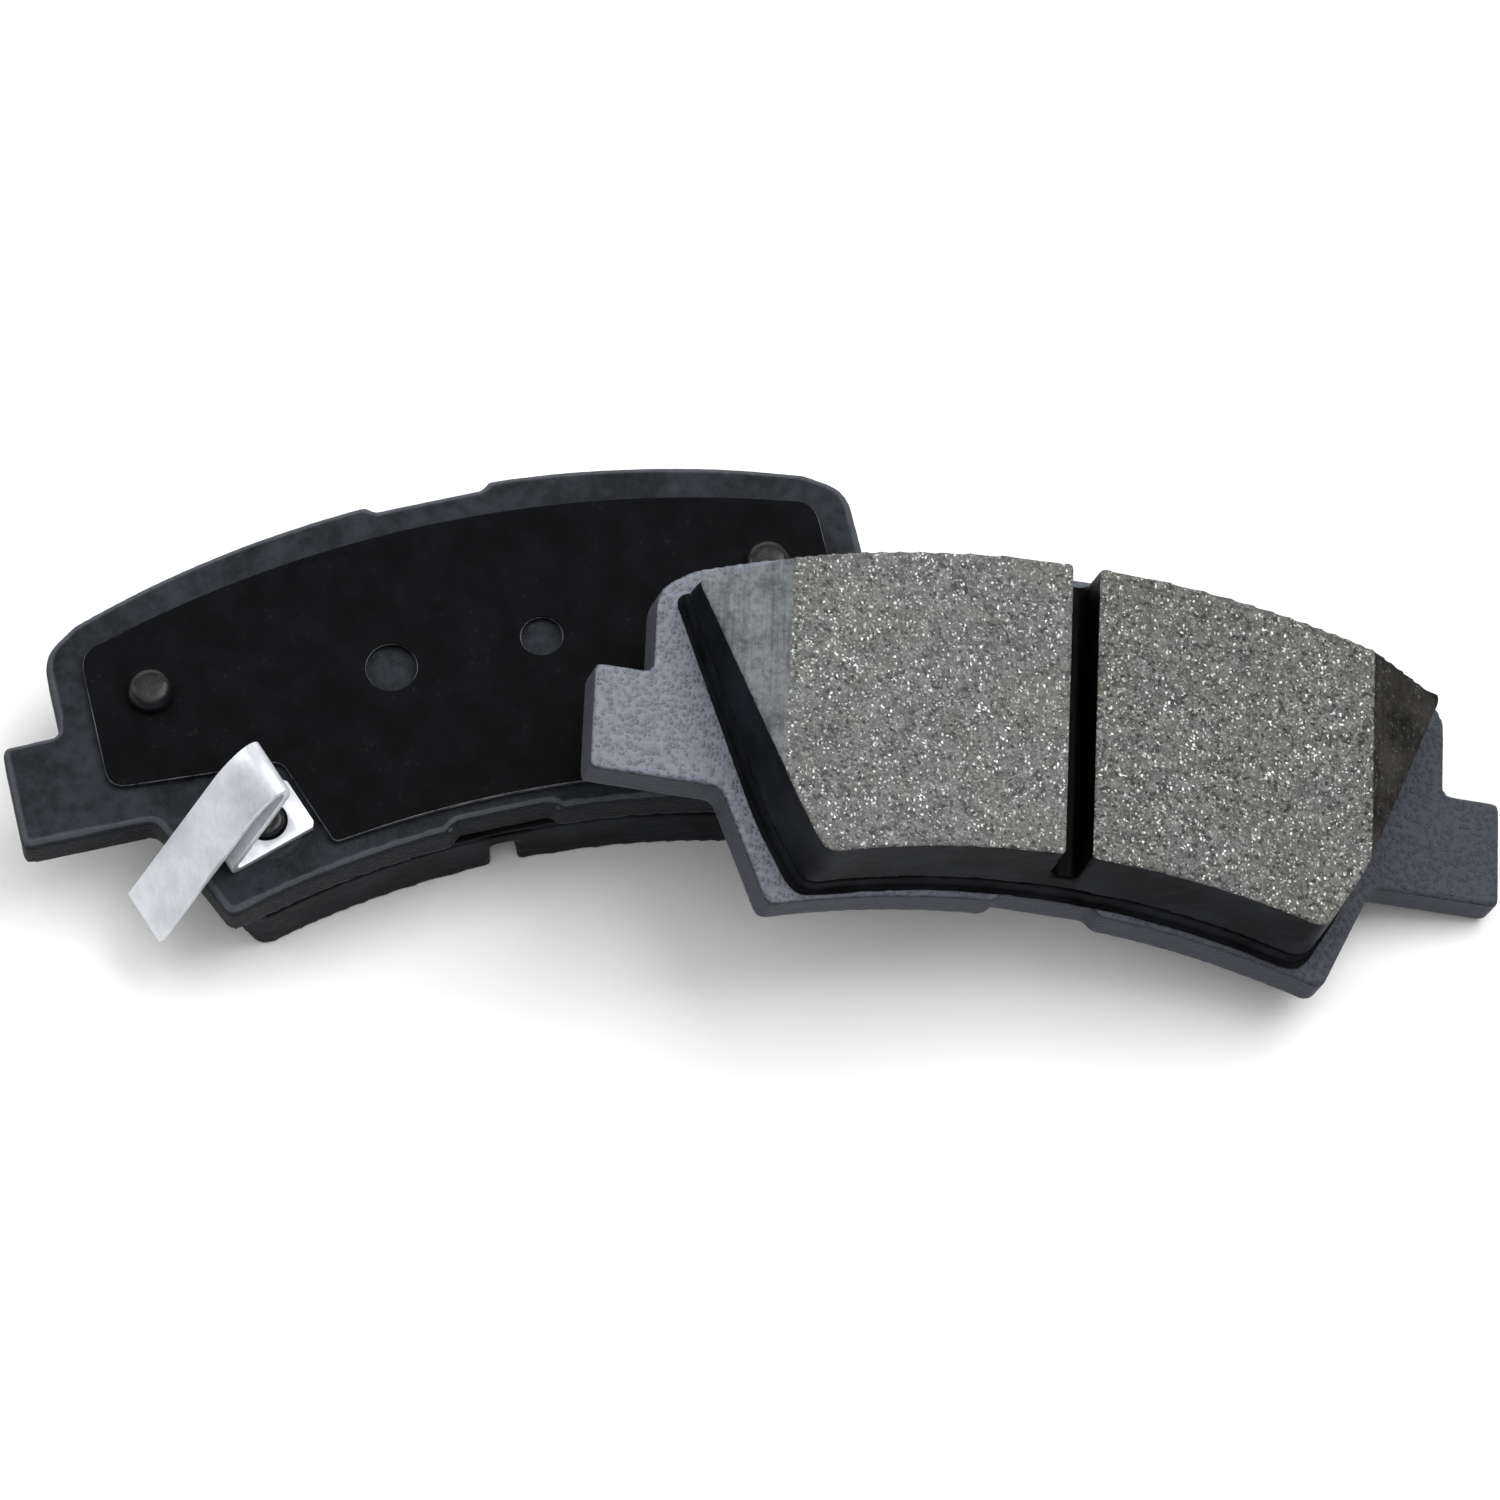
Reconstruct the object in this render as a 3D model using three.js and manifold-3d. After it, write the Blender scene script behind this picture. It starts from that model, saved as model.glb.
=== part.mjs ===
// A pair of disc brake pads: the inner pad lies flat and the outer pad leans on its right end.
// Millimetres, +Z up, origin under the middle of the pair on the surface that it lies on.
//
// Every piece is drawn in the pad's own frame: X runs along the pad, Y points away from the
// wheel's axis, Z points at the disc, and Z = 0 is the face of the backing plate that the
// friction material is bonded to. Each pad's groups then lay it down: the inner pad with its
// friction face down, the outer pad with its friction face up and its left end raised.

import * as THREE from 'three';
import { mergeVertices } from 'three/addons/utils/BufferGeometryUtils.js';
import Module from 'manifold-3d';

const wasm = await Module();
wasm.setup();

// Backing plate
const PLATE_THICKNESS = 5.0;
const PLATE_BEVEL = 0.5;
const EAR_SPAN = 99.8;
const EAR_HEIGHT = 11.9;
const SHOULDER_SPAN = 87.2;
const SHOULDER_Y = 21.4;
const PLATE_CROWN_Y = 31.1;
const PLATE_CROWN_RADIUS = 116;
const PLATE_BELLY_Y = -7.9;
const PLATE_BELLY_RADIUS = 103;
const ROOT_HALF_SPAN = 35.8;
const TOE_X = 30.3;
const RECESS_HALF_WIDTH = 5.8;
const RECESS_DEPTH = 0.8;
const RECESS_RAMP = 0.9;
const PLATE_CORNER_ROOM = 3.4;
const PLATE_TOE_ROOM = 4;

// Friction material
const BOND_THICKNESS = 0.15;
const UNDERLAYER_THICKNESS = 2.0;
const FRICTION_HEIGHT = 10.5;
const BLOCK_SHOULDER_X = 41.4;
const BLOCK_SHOULDER_Y = 20.6;
const BLOCK_CROWN_Y = 27.2;
const BLOCK_CROWN_RADIUS = 120;
const BLOCK_BELLY_Y = -6.9;
const BLOCK_BELLY_RADIUS = 96;
const BLOCK_HEEL_X = 31.8;
const BLOCK_HEEL_Y = -3.2;
const BLOCK_TOE_X = 27.4;
const BLOCK_TOE_ROOM = 3;
const BLOCK_SHOULDER_ROOM = 2;
const BLOCK_MIDDLE_X = 0.5;
const BOND_MARGIN = 0.5;
const CHAMFER_ANGLE = THREE.MathUtils.degToRad(25);
const SLOT_WIDTH = 2.9;
const SLOT_DEPTH = 5.6;

// Noise shim: a steel core between two rubber skins, held by two studs
const SKIN_THICKNESS = 0.2;
const CORE_THICKNESS = 0.6;
const SHIM_HALF_SPAN = 39.8;
const SHIM_TOP_CORNER_Y = 20.2;
const SHIM_LOW_CORNER_Y = 4.2;
const SHIM_CROWN_Y = 26.6;
const SHIM_CROWN_RADIUS = 122;
const SHIM_BELLY_Y = -5.7;
const SHIM_BELLY_RADIUS = 111;
const SHIM_CORNER_ROOM = 2.6;
const SHIM_BELLY_START = -27;
const SHIM_BELLY_ROOM = 2;
const SHIM_HOLES = [
  { x: 8.0, y: 11.2, radius: 2.7 },
  { x: -8.2, y: 11.2, radius: 2.2 },
];
const STUD_X = 33.3;
const STUD_Y = 13.8;
const STUD_SHANK_RADIUS = 1.6;
const STUD_HEAD_RADIUS = 2.45;
const STUD_HEAD_HEIGHT = 2.0;
const STUD_FLUSH_DROP = 0.1;
const STUD_CLEARANCE = 0.15;

// Wear indicator: one steel strip, folded twice, on a stud of the inner pad's plate
const STRIP_WIDTH = 6.4;
const STRIP_THICKNESS = 0.8;
const STRIP_FOOT = 9.6;
const STRIP_STUD_SETBACK = 5.4;
const STRIP_FOLD_OUT = -6.4;
const STRIP_FOLD_RISE = 12.8;
const STRIP_TIP_OUT = 9.6;
const STRIP_TIP_DROP = 6.4;
const STRIP_HEEL_X = 29.6;
const STRIP_HEEL_Y = -4.8;
const STRIP_TURN = THREE.MathUtils.degToRad(-19);
const STRIP_HOLE_RADIUS = 2.3;
const RIVET_RADIUS = 1.95;
const RIVET_HEIGHT = 1.5;

// Layers that touch keep this much air between them
const LAYER_GAP = 0.03;

// Cutting bodies, and how finely curves are divided
const CUT_MARGIN = 1;
const CHAMFER_CUTTER_SIZE = 60;
const STRIP_CUTTER_HEIGHT = 3;
const BEVEL_SEGMENTS = 2;
const CORNER_SEGMENTS = 8;
const TURNED_SEGMENTS = 32;
const STRIP_STEPS = 70;

// How the pair lies
const INNER_YAW = THREE.MathUtils.degToRad(12.9);
const OUTER_YAW = THREE.MathUtils.degToRad(-2.2);
const OUTER_LEAN = THREE.MathUtils.degToRad(16.5);
const OUTER_OFFSET = new THREE.Vector2(58.8, -11.4);

const SHIM_THICKNESS = 2 * SKIN_THICKNESS + CORE_THICKNESS + 3 * LAYER_GAP;
const BLOCK_FLOOR = BOND_THICKNESS + UNDERLAYER_THICKNESS + 3 * LAYER_GAP;

const FINISHES = {
  plate: new THREE.MeshStandardMaterial({ color: 0x33363b, roughness: 0.55, metalness: 0.2 }),
  bond: new THREE.MeshStandardMaterial({ color: 0x1a1a1c, roughness: 0.7 }),
  underlayer: new THREE.MeshStandardMaterial({ color: 0x24262b, roughness: 0.7 }),
  friction: new THREE.MeshStandardMaterial({ color: 0x66655f, roughness: 0.75, metalness: 0.2 }),
  rubber: new THREE.MeshStandardMaterial({ color: 0x141517, roughness: 0.6 }),
  shim: new THREE.MeshStandardMaterial({ color: 0x9c9ea0, roughness: 0.4, metalness: 0.9 }),
  stud: new THREE.MeshStandardMaterial({ color: 0x16171a, roughness: 0.4, metalness: 0.3 }),
  strip: new THREE.MeshStandardMaterial({ color: 0xd9dce0, roughness: 0.3, metalness: 0.9 }),
};

// ---------- outlines ----------

// Height at x of a circular arc whose highest point is at crownY, on the pad's middle line.
function arcHeight(x, crownY, radius) {
  return crownY - (radius - Math.sqrt(radius * radius - x * x));
}

// Points along an arc from one x to another, without its first point.
function arcRun(fromX, toX, crownY, radius, steps) {
  const run = [];
  for (let step = 1; step <= steps; step++) {
    const x = THREE.MathUtils.lerp(fromX, toX, step / steps);
    run.push({ x, y: arcHeight(x, crownY, radius) });
  }
  return run;
}

// A shape through corner points; a corner with a radius is rounded by a short curve.
function roundedShape(corners) {
  const shape = new THREE.Shape();
  corners.forEach((corner, index) => {
    const here = new THREE.Vector2(corner.x, corner.y);
    const before = corners[(index + corners.length - 1) % corners.length];
    const after = corners[(index + 1) % corners.length];
    const reach = corner.round ?? 0;
    const start = here.clone().add(
      new THREE.Vector2(before.x, before.y).sub(here).setLength(reach),
    );
    const end = here.clone().add(
      new THREE.Vector2(after.x, after.y).sub(here).setLength(reach),
    );
    if (index === 0) shape.moveTo(start.x, start.y);
    else shape.lineTo(start.x, start.y);
    if (reach > 0) shape.quadraticCurveTo(here.x, here.y, end.x, end.y);
  });
  shape.closePath();
  return shape;
}

// Right half of a symmetric outline, given bottom to top, joined to its mirror image.
function mirrored(rightHalf) {
  const leftHalf = [...rightHalf].reverse().map((corner) => ({ ...corner, x: -corner.x }));
  return [...rightHalf, ...leftHalf];
}

// The eared plate, with a shallow recess in the middle of its lower and of its crowned edge.
function plateShape() {
  const toeY = arcHeight(TOE_X, PLATE_BELLY_Y, PLATE_BELLY_RADIUS);
  const rampFoot = RECESS_HALF_WIDTH + RECESS_RAMP;
  const shoulderX = SHOULDER_SPAN / 2;
  const crownEdge = shoulderX - PLATE_CORNER_ROOM;
  return roundedShape(mirrored([
    { x: RECESS_HALF_WIDTH - RECESS_RAMP, y: PLATE_BELLY_Y + RECESS_DEPTH },
    { x: RECESS_HALF_WIDTH, y: arcHeight(RECESS_HALF_WIDTH, PLATE_BELLY_Y, PLATE_BELLY_RADIUS) },
    ...arcRun(RECESS_HALF_WIDTH, TOE_X - PLATE_TOE_ROOM, PLATE_BELLY_Y, PLATE_BELLY_RADIUS, 7),
    { x: TOE_X, y: toeY, round: 1.2 },
    { x: ROOT_HALF_SPAN, y: 0, round: 0.8 },
    { x: EAR_SPAN / 2, y: 0, round: 0.8 },
    { x: EAR_SPAN / 2, y: EAR_HEIGHT, round: 0.8 },
    { x: shoulderX, y: EAR_HEIGHT, round: 0.9 },
    { x: shoulderX, y: SHOULDER_Y, round: 2.2 },
    ...arcRun(crownEdge, rampFoot, PLATE_CROWN_Y, PLATE_CROWN_RADIUS, 9),
    { x: RECESS_HALF_WIDTH, y: arcHeight(rampFoot, PLATE_CROWN_Y, PLATE_CROWN_RADIUS) - RECESS_DEPTH },
  ]));
}

// The friction block, or a layer under it that stays inside its outline by a margin.
function blockShape(margin) {
  const toeY = arcHeight(BLOCK_TOE_X, BLOCK_BELLY_Y, BLOCK_BELLY_RADIUS);
  const bellyY = BLOCK_BELLY_Y + margin;
  const crownY = BLOCK_CROWN_Y - margin;
  const bellyEdge = BLOCK_TOE_X - BLOCK_TOE_ROOM;
  const crownEdge = BLOCK_SHOULDER_X - BLOCK_SHOULDER_ROOM;
  return roundedShape(mirrored([
    { x: BLOCK_MIDDLE_X, y: bellyY },
    ...arcRun(BLOCK_MIDDLE_X, bellyEdge, bellyY, BLOCK_BELLY_RADIUS, 7),
    { x: BLOCK_TOE_X - margin, y: toeY + margin, round: 2.0 },
    { x: BLOCK_HEEL_X - margin, y: BLOCK_HEEL_Y, round: 2.4 },
    { x: BLOCK_SHOULDER_X - margin, y: BLOCK_SHOULDER_Y, round: 1.4 },
    ...arcRun(crownEdge, BLOCK_MIDDLE_X, crownY, BLOCK_CROWN_RADIUS, 10),
  ]));
}

// Left half of the shim, top to bottom: the end that has no wear indicator on either pad.
const SHIM_PLAIN_END = [
  { x: -SHIM_HALF_SPAN, y: SHIM_TOP_CORNER_Y, round: 2.2 },
  { x: -SHIM_HALF_SPAN, y: SHIM_LOW_CORNER_Y, round: 2.0 },
  { x: -34.4, y: 3.8, round: 1.5 },
  { x: -28.4, y: -9.3, round: 1.5 },
];

// Right half, bottom to top, cut back round the foot of the wear indicator.
const SHIM_CUT_END = [
  { x: 18.0, y: -7.1, round: 0.6 },
  { x: 21.6, y: 3.3, round: 1.2 },
  { x: 27.0, y: 3.4 },
  { x: SHIM_HALF_SPAN, y: SHIM_LOW_CORNER_Y, round: 2.0 },
  { x: SHIM_HALF_SPAN, y: SHIM_TOP_CORNER_Y, round: 2.2 },
];

// The shim's outline, with its two round openings and the studs' holes.
function shimShape(hasWearIndicator, studHoleRadius) {
  const plainRight = [...SHIM_PLAIN_END].reverse().map((corner) => ({ ...corner, x: -corner.x }));
  const rightEnd = hasWearIndicator ? SHIM_CUT_END : plainRight;
  const crownEdge = SHIM_HALF_SPAN - SHIM_CORNER_ROOM;
  const bellyEdge = rightEnd[0].x - SHIM_BELLY_ROOM;
  const shape = roundedShape([
    ...arcRun(crownEdge, -crownEdge, SHIM_CROWN_Y, SHIM_CROWN_RADIUS, 20),
    ...SHIM_PLAIN_END,
    ...arcRun(SHIM_BELLY_START, bellyEdge, SHIM_BELLY_Y, SHIM_BELLY_RADIUS, 12),
    ...rightEnd,
  ]);
  const studHoles = [STUD_X, -STUD_X].map((x) => ({ x, y: STUD_Y, radius: studHoleRadius }));
  for (const hole of [...SHIM_HOLES, ...studHoles]) {
    const ring = new THREE.Path();
    ring.absarc(hole.x, hole.y, hole.radius, 0, 2 * Math.PI, true);
    shape.holes.push(ring);
  }
  return shape;
}

// ---------- solids ----------

// A flat body between two heights, with its rims bevelled inside the shape.
function slab(shape, fromZ, toZ, bevel = 0) {
  const geometry = new THREE.ExtrudeGeometry(shape, {
    depth: toZ - fromZ - 2 * bevel,
    bevelEnabled: bevel > 0,
    bevelThickness: bevel,
    bevelSize: bevel,
    bevelOffset: -bevel,
    bevelSegments: BEVEL_SEGMENTS,
    curveSegments: CORNER_SEGMENTS,
  });
  return geometry.translate(0, 0, fromZ + bevel);
}

// A closed geometry as a solid that can be cut.
function toSolid(geometry) {
  const bare = new THREE.BufferGeometry();
  bare.setAttribute('position', geometry.getAttribute('position').clone());
  if (geometry.index) bare.setIndex(geometry.index.clone());
  const merged = mergeVertices(bare, 1e-4);
  return new wasm.Manifold(new wasm.Mesh({
    numProp: 3,
    vertProperties: new Float32Array(merged.getAttribute('position').array),
    triVerts: new Uint32Array(merged.index.array),
  }));
}

function toGeometry(solid) {
  const mesh = solid.getMesh();
  const geometry = new THREE.BufferGeometry();
  geometry.setAttribute('position', new THREE.BufferAttribute(mesh.vertProperties, 3));
  geometry.setIndex(new THREE.BufferAttribute(mesh.triVerts, 1));
  geometry.computeVertexNormals();
  return geometry;
}

// A wedge of air above the chamfer plane at one end of the block.
function chamferCutter(side) {
  const size = CHAMFER_CUTTER_SIZE;
  const cutter = new THREE.BoxGeometry(size, 2 * size, size);
  cutter.translate(size / 2, 0, size / 2);
  cutter.rotateY(CHAMFER_ANGLE);
  cutter.translate(BLOCK_HEEL_X, 0, FRICTION_HEIGHT);
  if (side < 0) cutter.rotateZ(Math.PI);
  return toSolid(cutter);
}

// The block, cut by its slot and its two chamfers.
function frictionBlockGeometry() {
  const cutHeight = SLOT_DEPTH + CUT_MARGIN;
  const slot = new THREE.BoxGeometry(SLOT_WIDTH, 2 * BLOCK_CROWN_RADIUS, cutHeight);
  slot.translate(0, 0, FRICTION_HEIGHT - SLOT_DEPTH + cutHeight / 2);
  const block = toSolid(slab(blockShape(0), BLOCK_FLOOR, FRICTION_HEIGHT))
    .subtract(toSolid(slot))
    .subtract(chamferCutter(1))
    .subtract(chamferCutter(-1));
  return toGeometry(block);
}

// A stud's profile from its axis out, between its foot and its domed or flat top.
function studGeometry(hasHead) {
  const shimTop = SHIM_THICKNESS + LAYER_GAP;
  const profile = [new THREE.Vector2(0, 0), new THREE.Vector2(STUD_SHANK_RADIUS, 0)];
  if (hasHead) {
    profile.push(new THREE.Vector2(STUD_SHANK_RADIUS, shimTop));
    profile.push(new THREE.Vector2(STUD_HEAD_RADIUS, shimTop));
    profile.push(new THREE.Vector2(STUD_HEAD_RADIUS, shimTop + 0.5 * STUD_HEAD_HEIGHT));
    profile.push(new THREE.Vector2(0.86 * STUD_HEAD_RADIUS, shimTop + 0.85 * STUD_HEAD_HEIGHT));
    profile.push(new THREE.Vector2(0.6 * STUD_HEAD_RADIUS, shimTop + STUD_HEAD_HEIGHT));
    profile.push(new THREE.Vector2(0, shimTop + STUD_HEAD_HEIGHT));
  } else {
    const flushTop = SHIM_THICKNESS - STUD_FLUSH_DROP;
    profile.push(new THREE.Vector2(STUD_SHANK_RADIUS, flushTop));
    profile.push(new THREE.Vector2(0, flushTop));
  }
  return backFacing(new THREE.LatheGeometry(profile, TURNED_SEGMENTS));
}

// Turns a lathed shape that stands on Y = 0 so that it stands on the plate's back face.
function backFacing(geometry) {
  return geometry.rotateX(-Math.PI / 2).translate(0, 0, -PLATE_THICKNESS - LAYER_GAP);
}

// Side view of the folded strip: distance out towards the pad's toe, height above the plate. The
// two bends' points are given from the heel and from the fold.
function stripCentreLine() {
  const half = STRIP_THICKNESS / 2;
  const path = new THREE.Path();
  path.moveTo(-STRIP_FOOT, half);
  path.lineTo(-0.8, half);
  path.quadraticCurveTo(0.7, half, 0.1, half + 1.5);
  path.lineTo(STRIP_FOLD_OUT - 0.1, STRIP_FOLD_RISE - 1.3);
  path.bezierCurveTo(
    STRIP_FOLD_OUT - 0.6, STRIP_FOLD_RISE + 0.4,
    STRIP_FOLD_OUT + 0.2, STRIP_FOLD_RISE + 0.9,
    STRIP_FOLD_OUT + 1.5, STRIP_FOLD_RISE + 0.1,
  );
  path.quadraticCurveTo(
    STRIP_FOLD_OUT + 3.0, STRIP_FOLD_RISE - 0.8,
    STRIP_FOLD_OUT + 4.4, STRIP_FOLD_RISE - 2.6,
  );
  path.lineTo(STRIP_TIP_OUT, -STRIP_TIP_DROP);
  return path.getSpacedPoints(STRIP_STEPS);
}

// The strip's cut edge: its centre line, thickened to both sides.
function stripShape() {
  const line = stripCentreLine();
  const sides = [[], []];
  line.forEach((point, index) => {
    const before = line[Math.max(index - 1, 0)];
    const after = line[Math.min(index + 1, line.length - 1)];
    const along = after.clone().sub(before).normalize();
    const across = new THREE.Vector2(-along.y, along.x).multiplyScalar(STRIP_THICKNESS / 2);
    sides[0].push(point.clone().add(across));
    sides[1].push(point.clone().sub(across));
  });
  return new THREE.Shape([...sides[0], ...sides[1].reverse()]);
}

// The strip with the stud's hole in its foot.
function wearIndicatorGeometry() {
  const strip = new THREE.ExtrudeGeometry(stripShape(), { depth: STRIP_WIDTH, bevelEnabled: false });
  strip.translate(0, 0, -STRIP_WIDTH / 2);
  const radius = STRIP_HOLE_RADIUS;
  const hole = new THREE.CylinderGeometry(radius, radius, STRIP_CUTTER_HEIGHT, TURNED_SEGMENTS);
  hole.translate(-STRIP_STUD_SETBACK, 0, 0);
  const folded = toGeometry(toSolid(strip).subtract(toSolid(hole)));
  // The side view stands on the plate's back, then turns to point at the toe.
  folded.rotateX(-Math.PI / 2);
  folded.rotateZ(STRIP_TURN);
  return folded.translate(STRIP_HEEL_X, STRIP_HEEL_Y, -PLATE_THICKNESS - LAYER_GAP);
}

// The stud in the strip's hole, with a dished head.
function stripRivetGeometry() {
  const rivet = new THREE.LatheGeometry([
    new THREE.Vector2(0, 0),
    new THREE.Vector2(RIVET_RADIUS, 0),
    new THREE.Vector2(RIVET_RADIUS, 0.8 * RIVET_HEIGHT),
    new THREE.Vector2(0.8 * RIVET_RADIUS, RIVET_HEIGHT),
    new THREE.Vector2(0.45 * RIVET_RADIUS, RIVET_HEIGHT),
    new THREE.Vector2(0.25 * RIVET_RADIUS, 0.75 * RIVET_HEIGHT),
    new THREE.Vector2(0, 0.75 * RIVET_HEIGHT),
  ], TURNED_SEGMENTS);
  const x = STRIP_HEEL_X - STRIP_STUD_SETBACK * Math.cos(STRIP_TURN);
  const y = STRIP_HEEL_Y - STRIP_STUD_SETBACK * Math.sin(STRIP_TURN);
  return backFacing(rivet).translate(x, y, 0);
}

// ---------- pads ----------

function mesh(name, geometry, finish) {
  const piece = new THREE.Mesh(geometry, FINISHES[finish]);
  piece.name = name;
  return piece;
}

// Everything that the inner and the outer pad have in common.
function padPieces(side, hasWearIndicator) {
  const pad = new THREE.Group();
  const studHole = STUD_SHANK_RADIUS + STUD_CLEARANCE;
  const outline = shimShape(hasWearIndicator, studHole);
  pad.add(mesh(`${side}_backing_plate`, slab(plateShape(), -PLATE_THICKNESS, 0, PLATE_BEVEL), 'plate'));

  const bondTop = LAYER_GAP + BOND_THICKNESS;
  pad.add(mesh(`${side}_bond_layer`, slab(blockShape(BOND_MARGIN), LAYER_GAP, bondTop), 'bond'));
  const underlayerFoot = bondTop + LAYER_GAP;
  const underlayerTop = underlayerFoot + UNDERLAYER_THICKNESS;
  pad.add(mesh(`${side}_underlayer`, slab(blockShape(0), underlayerFoot, underlayerTop), 'underlayer'));
  pad.add(mesh(`${side}_friction_block`, frictionBlockGeometry(), 'friction'));

  const shimLayers = [
    { name: 'shim_inner_skin', thickness: SKIN_THICKNESS, finish: 'rubber' },
    { name: 'shim_core', thickness: CORE_THICKNESS, finish: 'shim' },
    { name: 'shim_outer_skin', thickness: SKIN_THICKNESS, finish: 'rubber' },
  ];
  let height = -PLATE_THICKNESS - LAYER_GAP;
  for (const layer of shimLayers) {
    const back = height - layer.thickness;
    pad.add(mesh(`${side}_${layer.name}`, slab(outline, back, height), layer.finish));
    height = back - LAYER_GAP;
  }

  for (const [end, x] of [['left', STUD_X], ['right', -STUD_X]]) {
    const stud = mesh(`${side}_shim_stud_${end}`, studGeometry(hasWearIndicator), 'stud');
    stud.position.set(x, STUD_Y, 0);
    pad.add(stud);
  }
  if (hasWearIndicator) {
    pad.add(mesh(`${side}_wear_indicator`, wearIndicatorGeometry(), 'strip'));
    pad.add(mesh(`${side}_wear_indicator_rivet`, stripRivetGeometry(), 'stud'));
  }
  return pad;
}

// The inner pad lies on its friction face, with its shim and wear indicator up.
function innerPad() {
  const turnedOver = padPieces('inner', true);
  turnedOver.rotation.y = Math.PI;
  turnedOver.position.z = FRICTION_HEIGHT;
  const pad = new THREE.Group();
  pad.rotation.z = INNER_YAW;
  pad.add(turnedOver);
  return pad;
}

// The outer pad has its friction face up. The edge of its right ear stands on the surface, and its
// back leans on the inner pad's right stud.
function outerPad() {
  const leaning = padPieces('outer', false);
  leaning.rotation.y = OUTER_LEAN;
  leaning.updateMatrixWorld(true);
  const lowest = new THREE.Box3().setFromObject(leaning, true).min.z;
  const pad = new THREE.Group();
  pad.rotation.z = OUTER_YAW;
  pad.position.set(OUTER_OFFSET.x, OUTER_OFFSET.y, -lowest);
  pad.add(leaning);
  return pad;
}

const pair = new THREE.Group();
pair.add(innerPad(), outerPad());

// Centres the pair over the origin.
pair.updateMatrixWorld(true);
const box = new THREE.Box3().setFromObject(pair, true);
const middle = box.getCenter(new THREE.Vector3());
pair.position.set(-middle.x, -middle.y, 0);

export default pair;
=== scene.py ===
"""Looks for a pair of disc brake pads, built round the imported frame.

The inner pad lies on its friction face, so its noise shim and its wear indicator are up. The outer
pad leans on the inner pad's right end, with its slotted, chamfered friction face up. Every piece is
drawn in its pad's own frame, in millimetres: X along the pad, Y away from the wheel's axis, Z
towards the disc, with Z = 0 on the face of the backing plate that carries the friction material.
Each pad's place in the scene is worked out from the frame's own nodes.
"""

import logging
import math
from collections.abc import Callable, Sequence
from dataclasses import dataclass, field
from enum import Enum

import bmesh
import bpy
import numpy as np
from mathutils import Matrix, Vector, noise

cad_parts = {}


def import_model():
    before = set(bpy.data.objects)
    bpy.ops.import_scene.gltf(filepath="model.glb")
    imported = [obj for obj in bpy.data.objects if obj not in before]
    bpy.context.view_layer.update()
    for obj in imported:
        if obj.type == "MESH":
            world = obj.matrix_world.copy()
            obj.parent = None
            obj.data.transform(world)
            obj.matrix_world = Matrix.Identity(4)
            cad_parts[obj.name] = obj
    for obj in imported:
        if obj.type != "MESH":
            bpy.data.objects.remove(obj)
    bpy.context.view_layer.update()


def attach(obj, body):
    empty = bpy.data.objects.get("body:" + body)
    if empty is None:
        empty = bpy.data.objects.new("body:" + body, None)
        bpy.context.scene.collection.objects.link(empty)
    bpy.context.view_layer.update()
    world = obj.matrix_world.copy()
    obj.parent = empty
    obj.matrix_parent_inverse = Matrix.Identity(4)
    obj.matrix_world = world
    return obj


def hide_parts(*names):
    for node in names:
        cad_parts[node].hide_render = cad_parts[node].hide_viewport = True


LOG = logging.getLogger("brake_pads")
MM = 0.001
ARC_PITCH = 1.0
MERGE_DISTANCE = 1e-4
OVERSHOOT = 1.0
ALL_SMOOTH = 180.0

Point2 = tuple[float, float]
Triple = tuple[float, float, float]
Colour = tuple[float, float, float]
EVEN: Triple = (1.0, 1.0, 1.0)
WHITE: Colour = (1.0, 1.0, 1.0)


class Side(Enum):
    """Which pad of the pair a piece belongs to."""

    INNER = "inner"
    OUTER = "outer"


# --------------------------------------------------------------------------------------------
# Outlines and meshes, in the pad's frame
# --------------------------------------------------------------------------------------------


@dataclass(frozen=True)
class Corner:
    """A corner of an outline, rounded over `reach` millimetres to each side of it."""

    x: float
    y: float
    reach: float = 0.0


@dataclass(frozen=True)
class Arc:
    """An arc along the pad that is highest on the pad's centre line."""

    top: float
    radius: float

    def height(self, x: float) -> float:
        """Returns the arc's height at x."""
        return self.top - (self.radius - math.sqrt(self.radius * self.radius - x * x))

    def run(self, start: float, end: float) -> list[Corner]:
        """Lists corners along the arc, after its first point.

        Args:
            start: X of the first point.
            end: X of the last point.

        Returns:
            The corners, in order.
        """
        steps = max(2, math.ceil(abs(end - start) / ARC_PITCH))
        places = [start + (end - start) * step / steps for step in range(1, steps + 1)]
        return [Corner(x, self.height(x)) for x in places]


def mirror_corners(right: Sequence[Corner]) -> list[Corner]:
    """Returns the mirror image of an outline's right half, in order round the outline."""
    return [Corner(-c.x, c.y, c.reach) for c in reversed(right)]


def round_corners(corners: Sequence[Corner], steps: int = 7) -> list[Point2]:
    """Turns corners into outline points, with a short curve round each rounded corner.

    Args:
        corners: The corners, in order round the outline.
        steps: Number of segments in each rounded corner.

    Returns:
        The outline's points.
    """
    points: list[Point2] = []
    for index, corner in enumerate(corners):
        here = Vector((corner.x, corner.y))
        if corner.reach <= 0:
            points.append((here.x, here.y))
            continue
        before, after = corners[index - 1], corners[(index + 1) % len(corners)]
        start = here + (Vector((before.x, before.y)) - here).normalized() * corner.reach
        end = here + (Vector((after.x, after.y)) - here).normalized() * corner.reach
        for step in range(steps + 1):
            t = step / steps
            at = start * (1 - t) ** 2 + here * (2 * t * (1 - t)) + end * t**2
            points.append((at.x, at.y))
    return points


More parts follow.
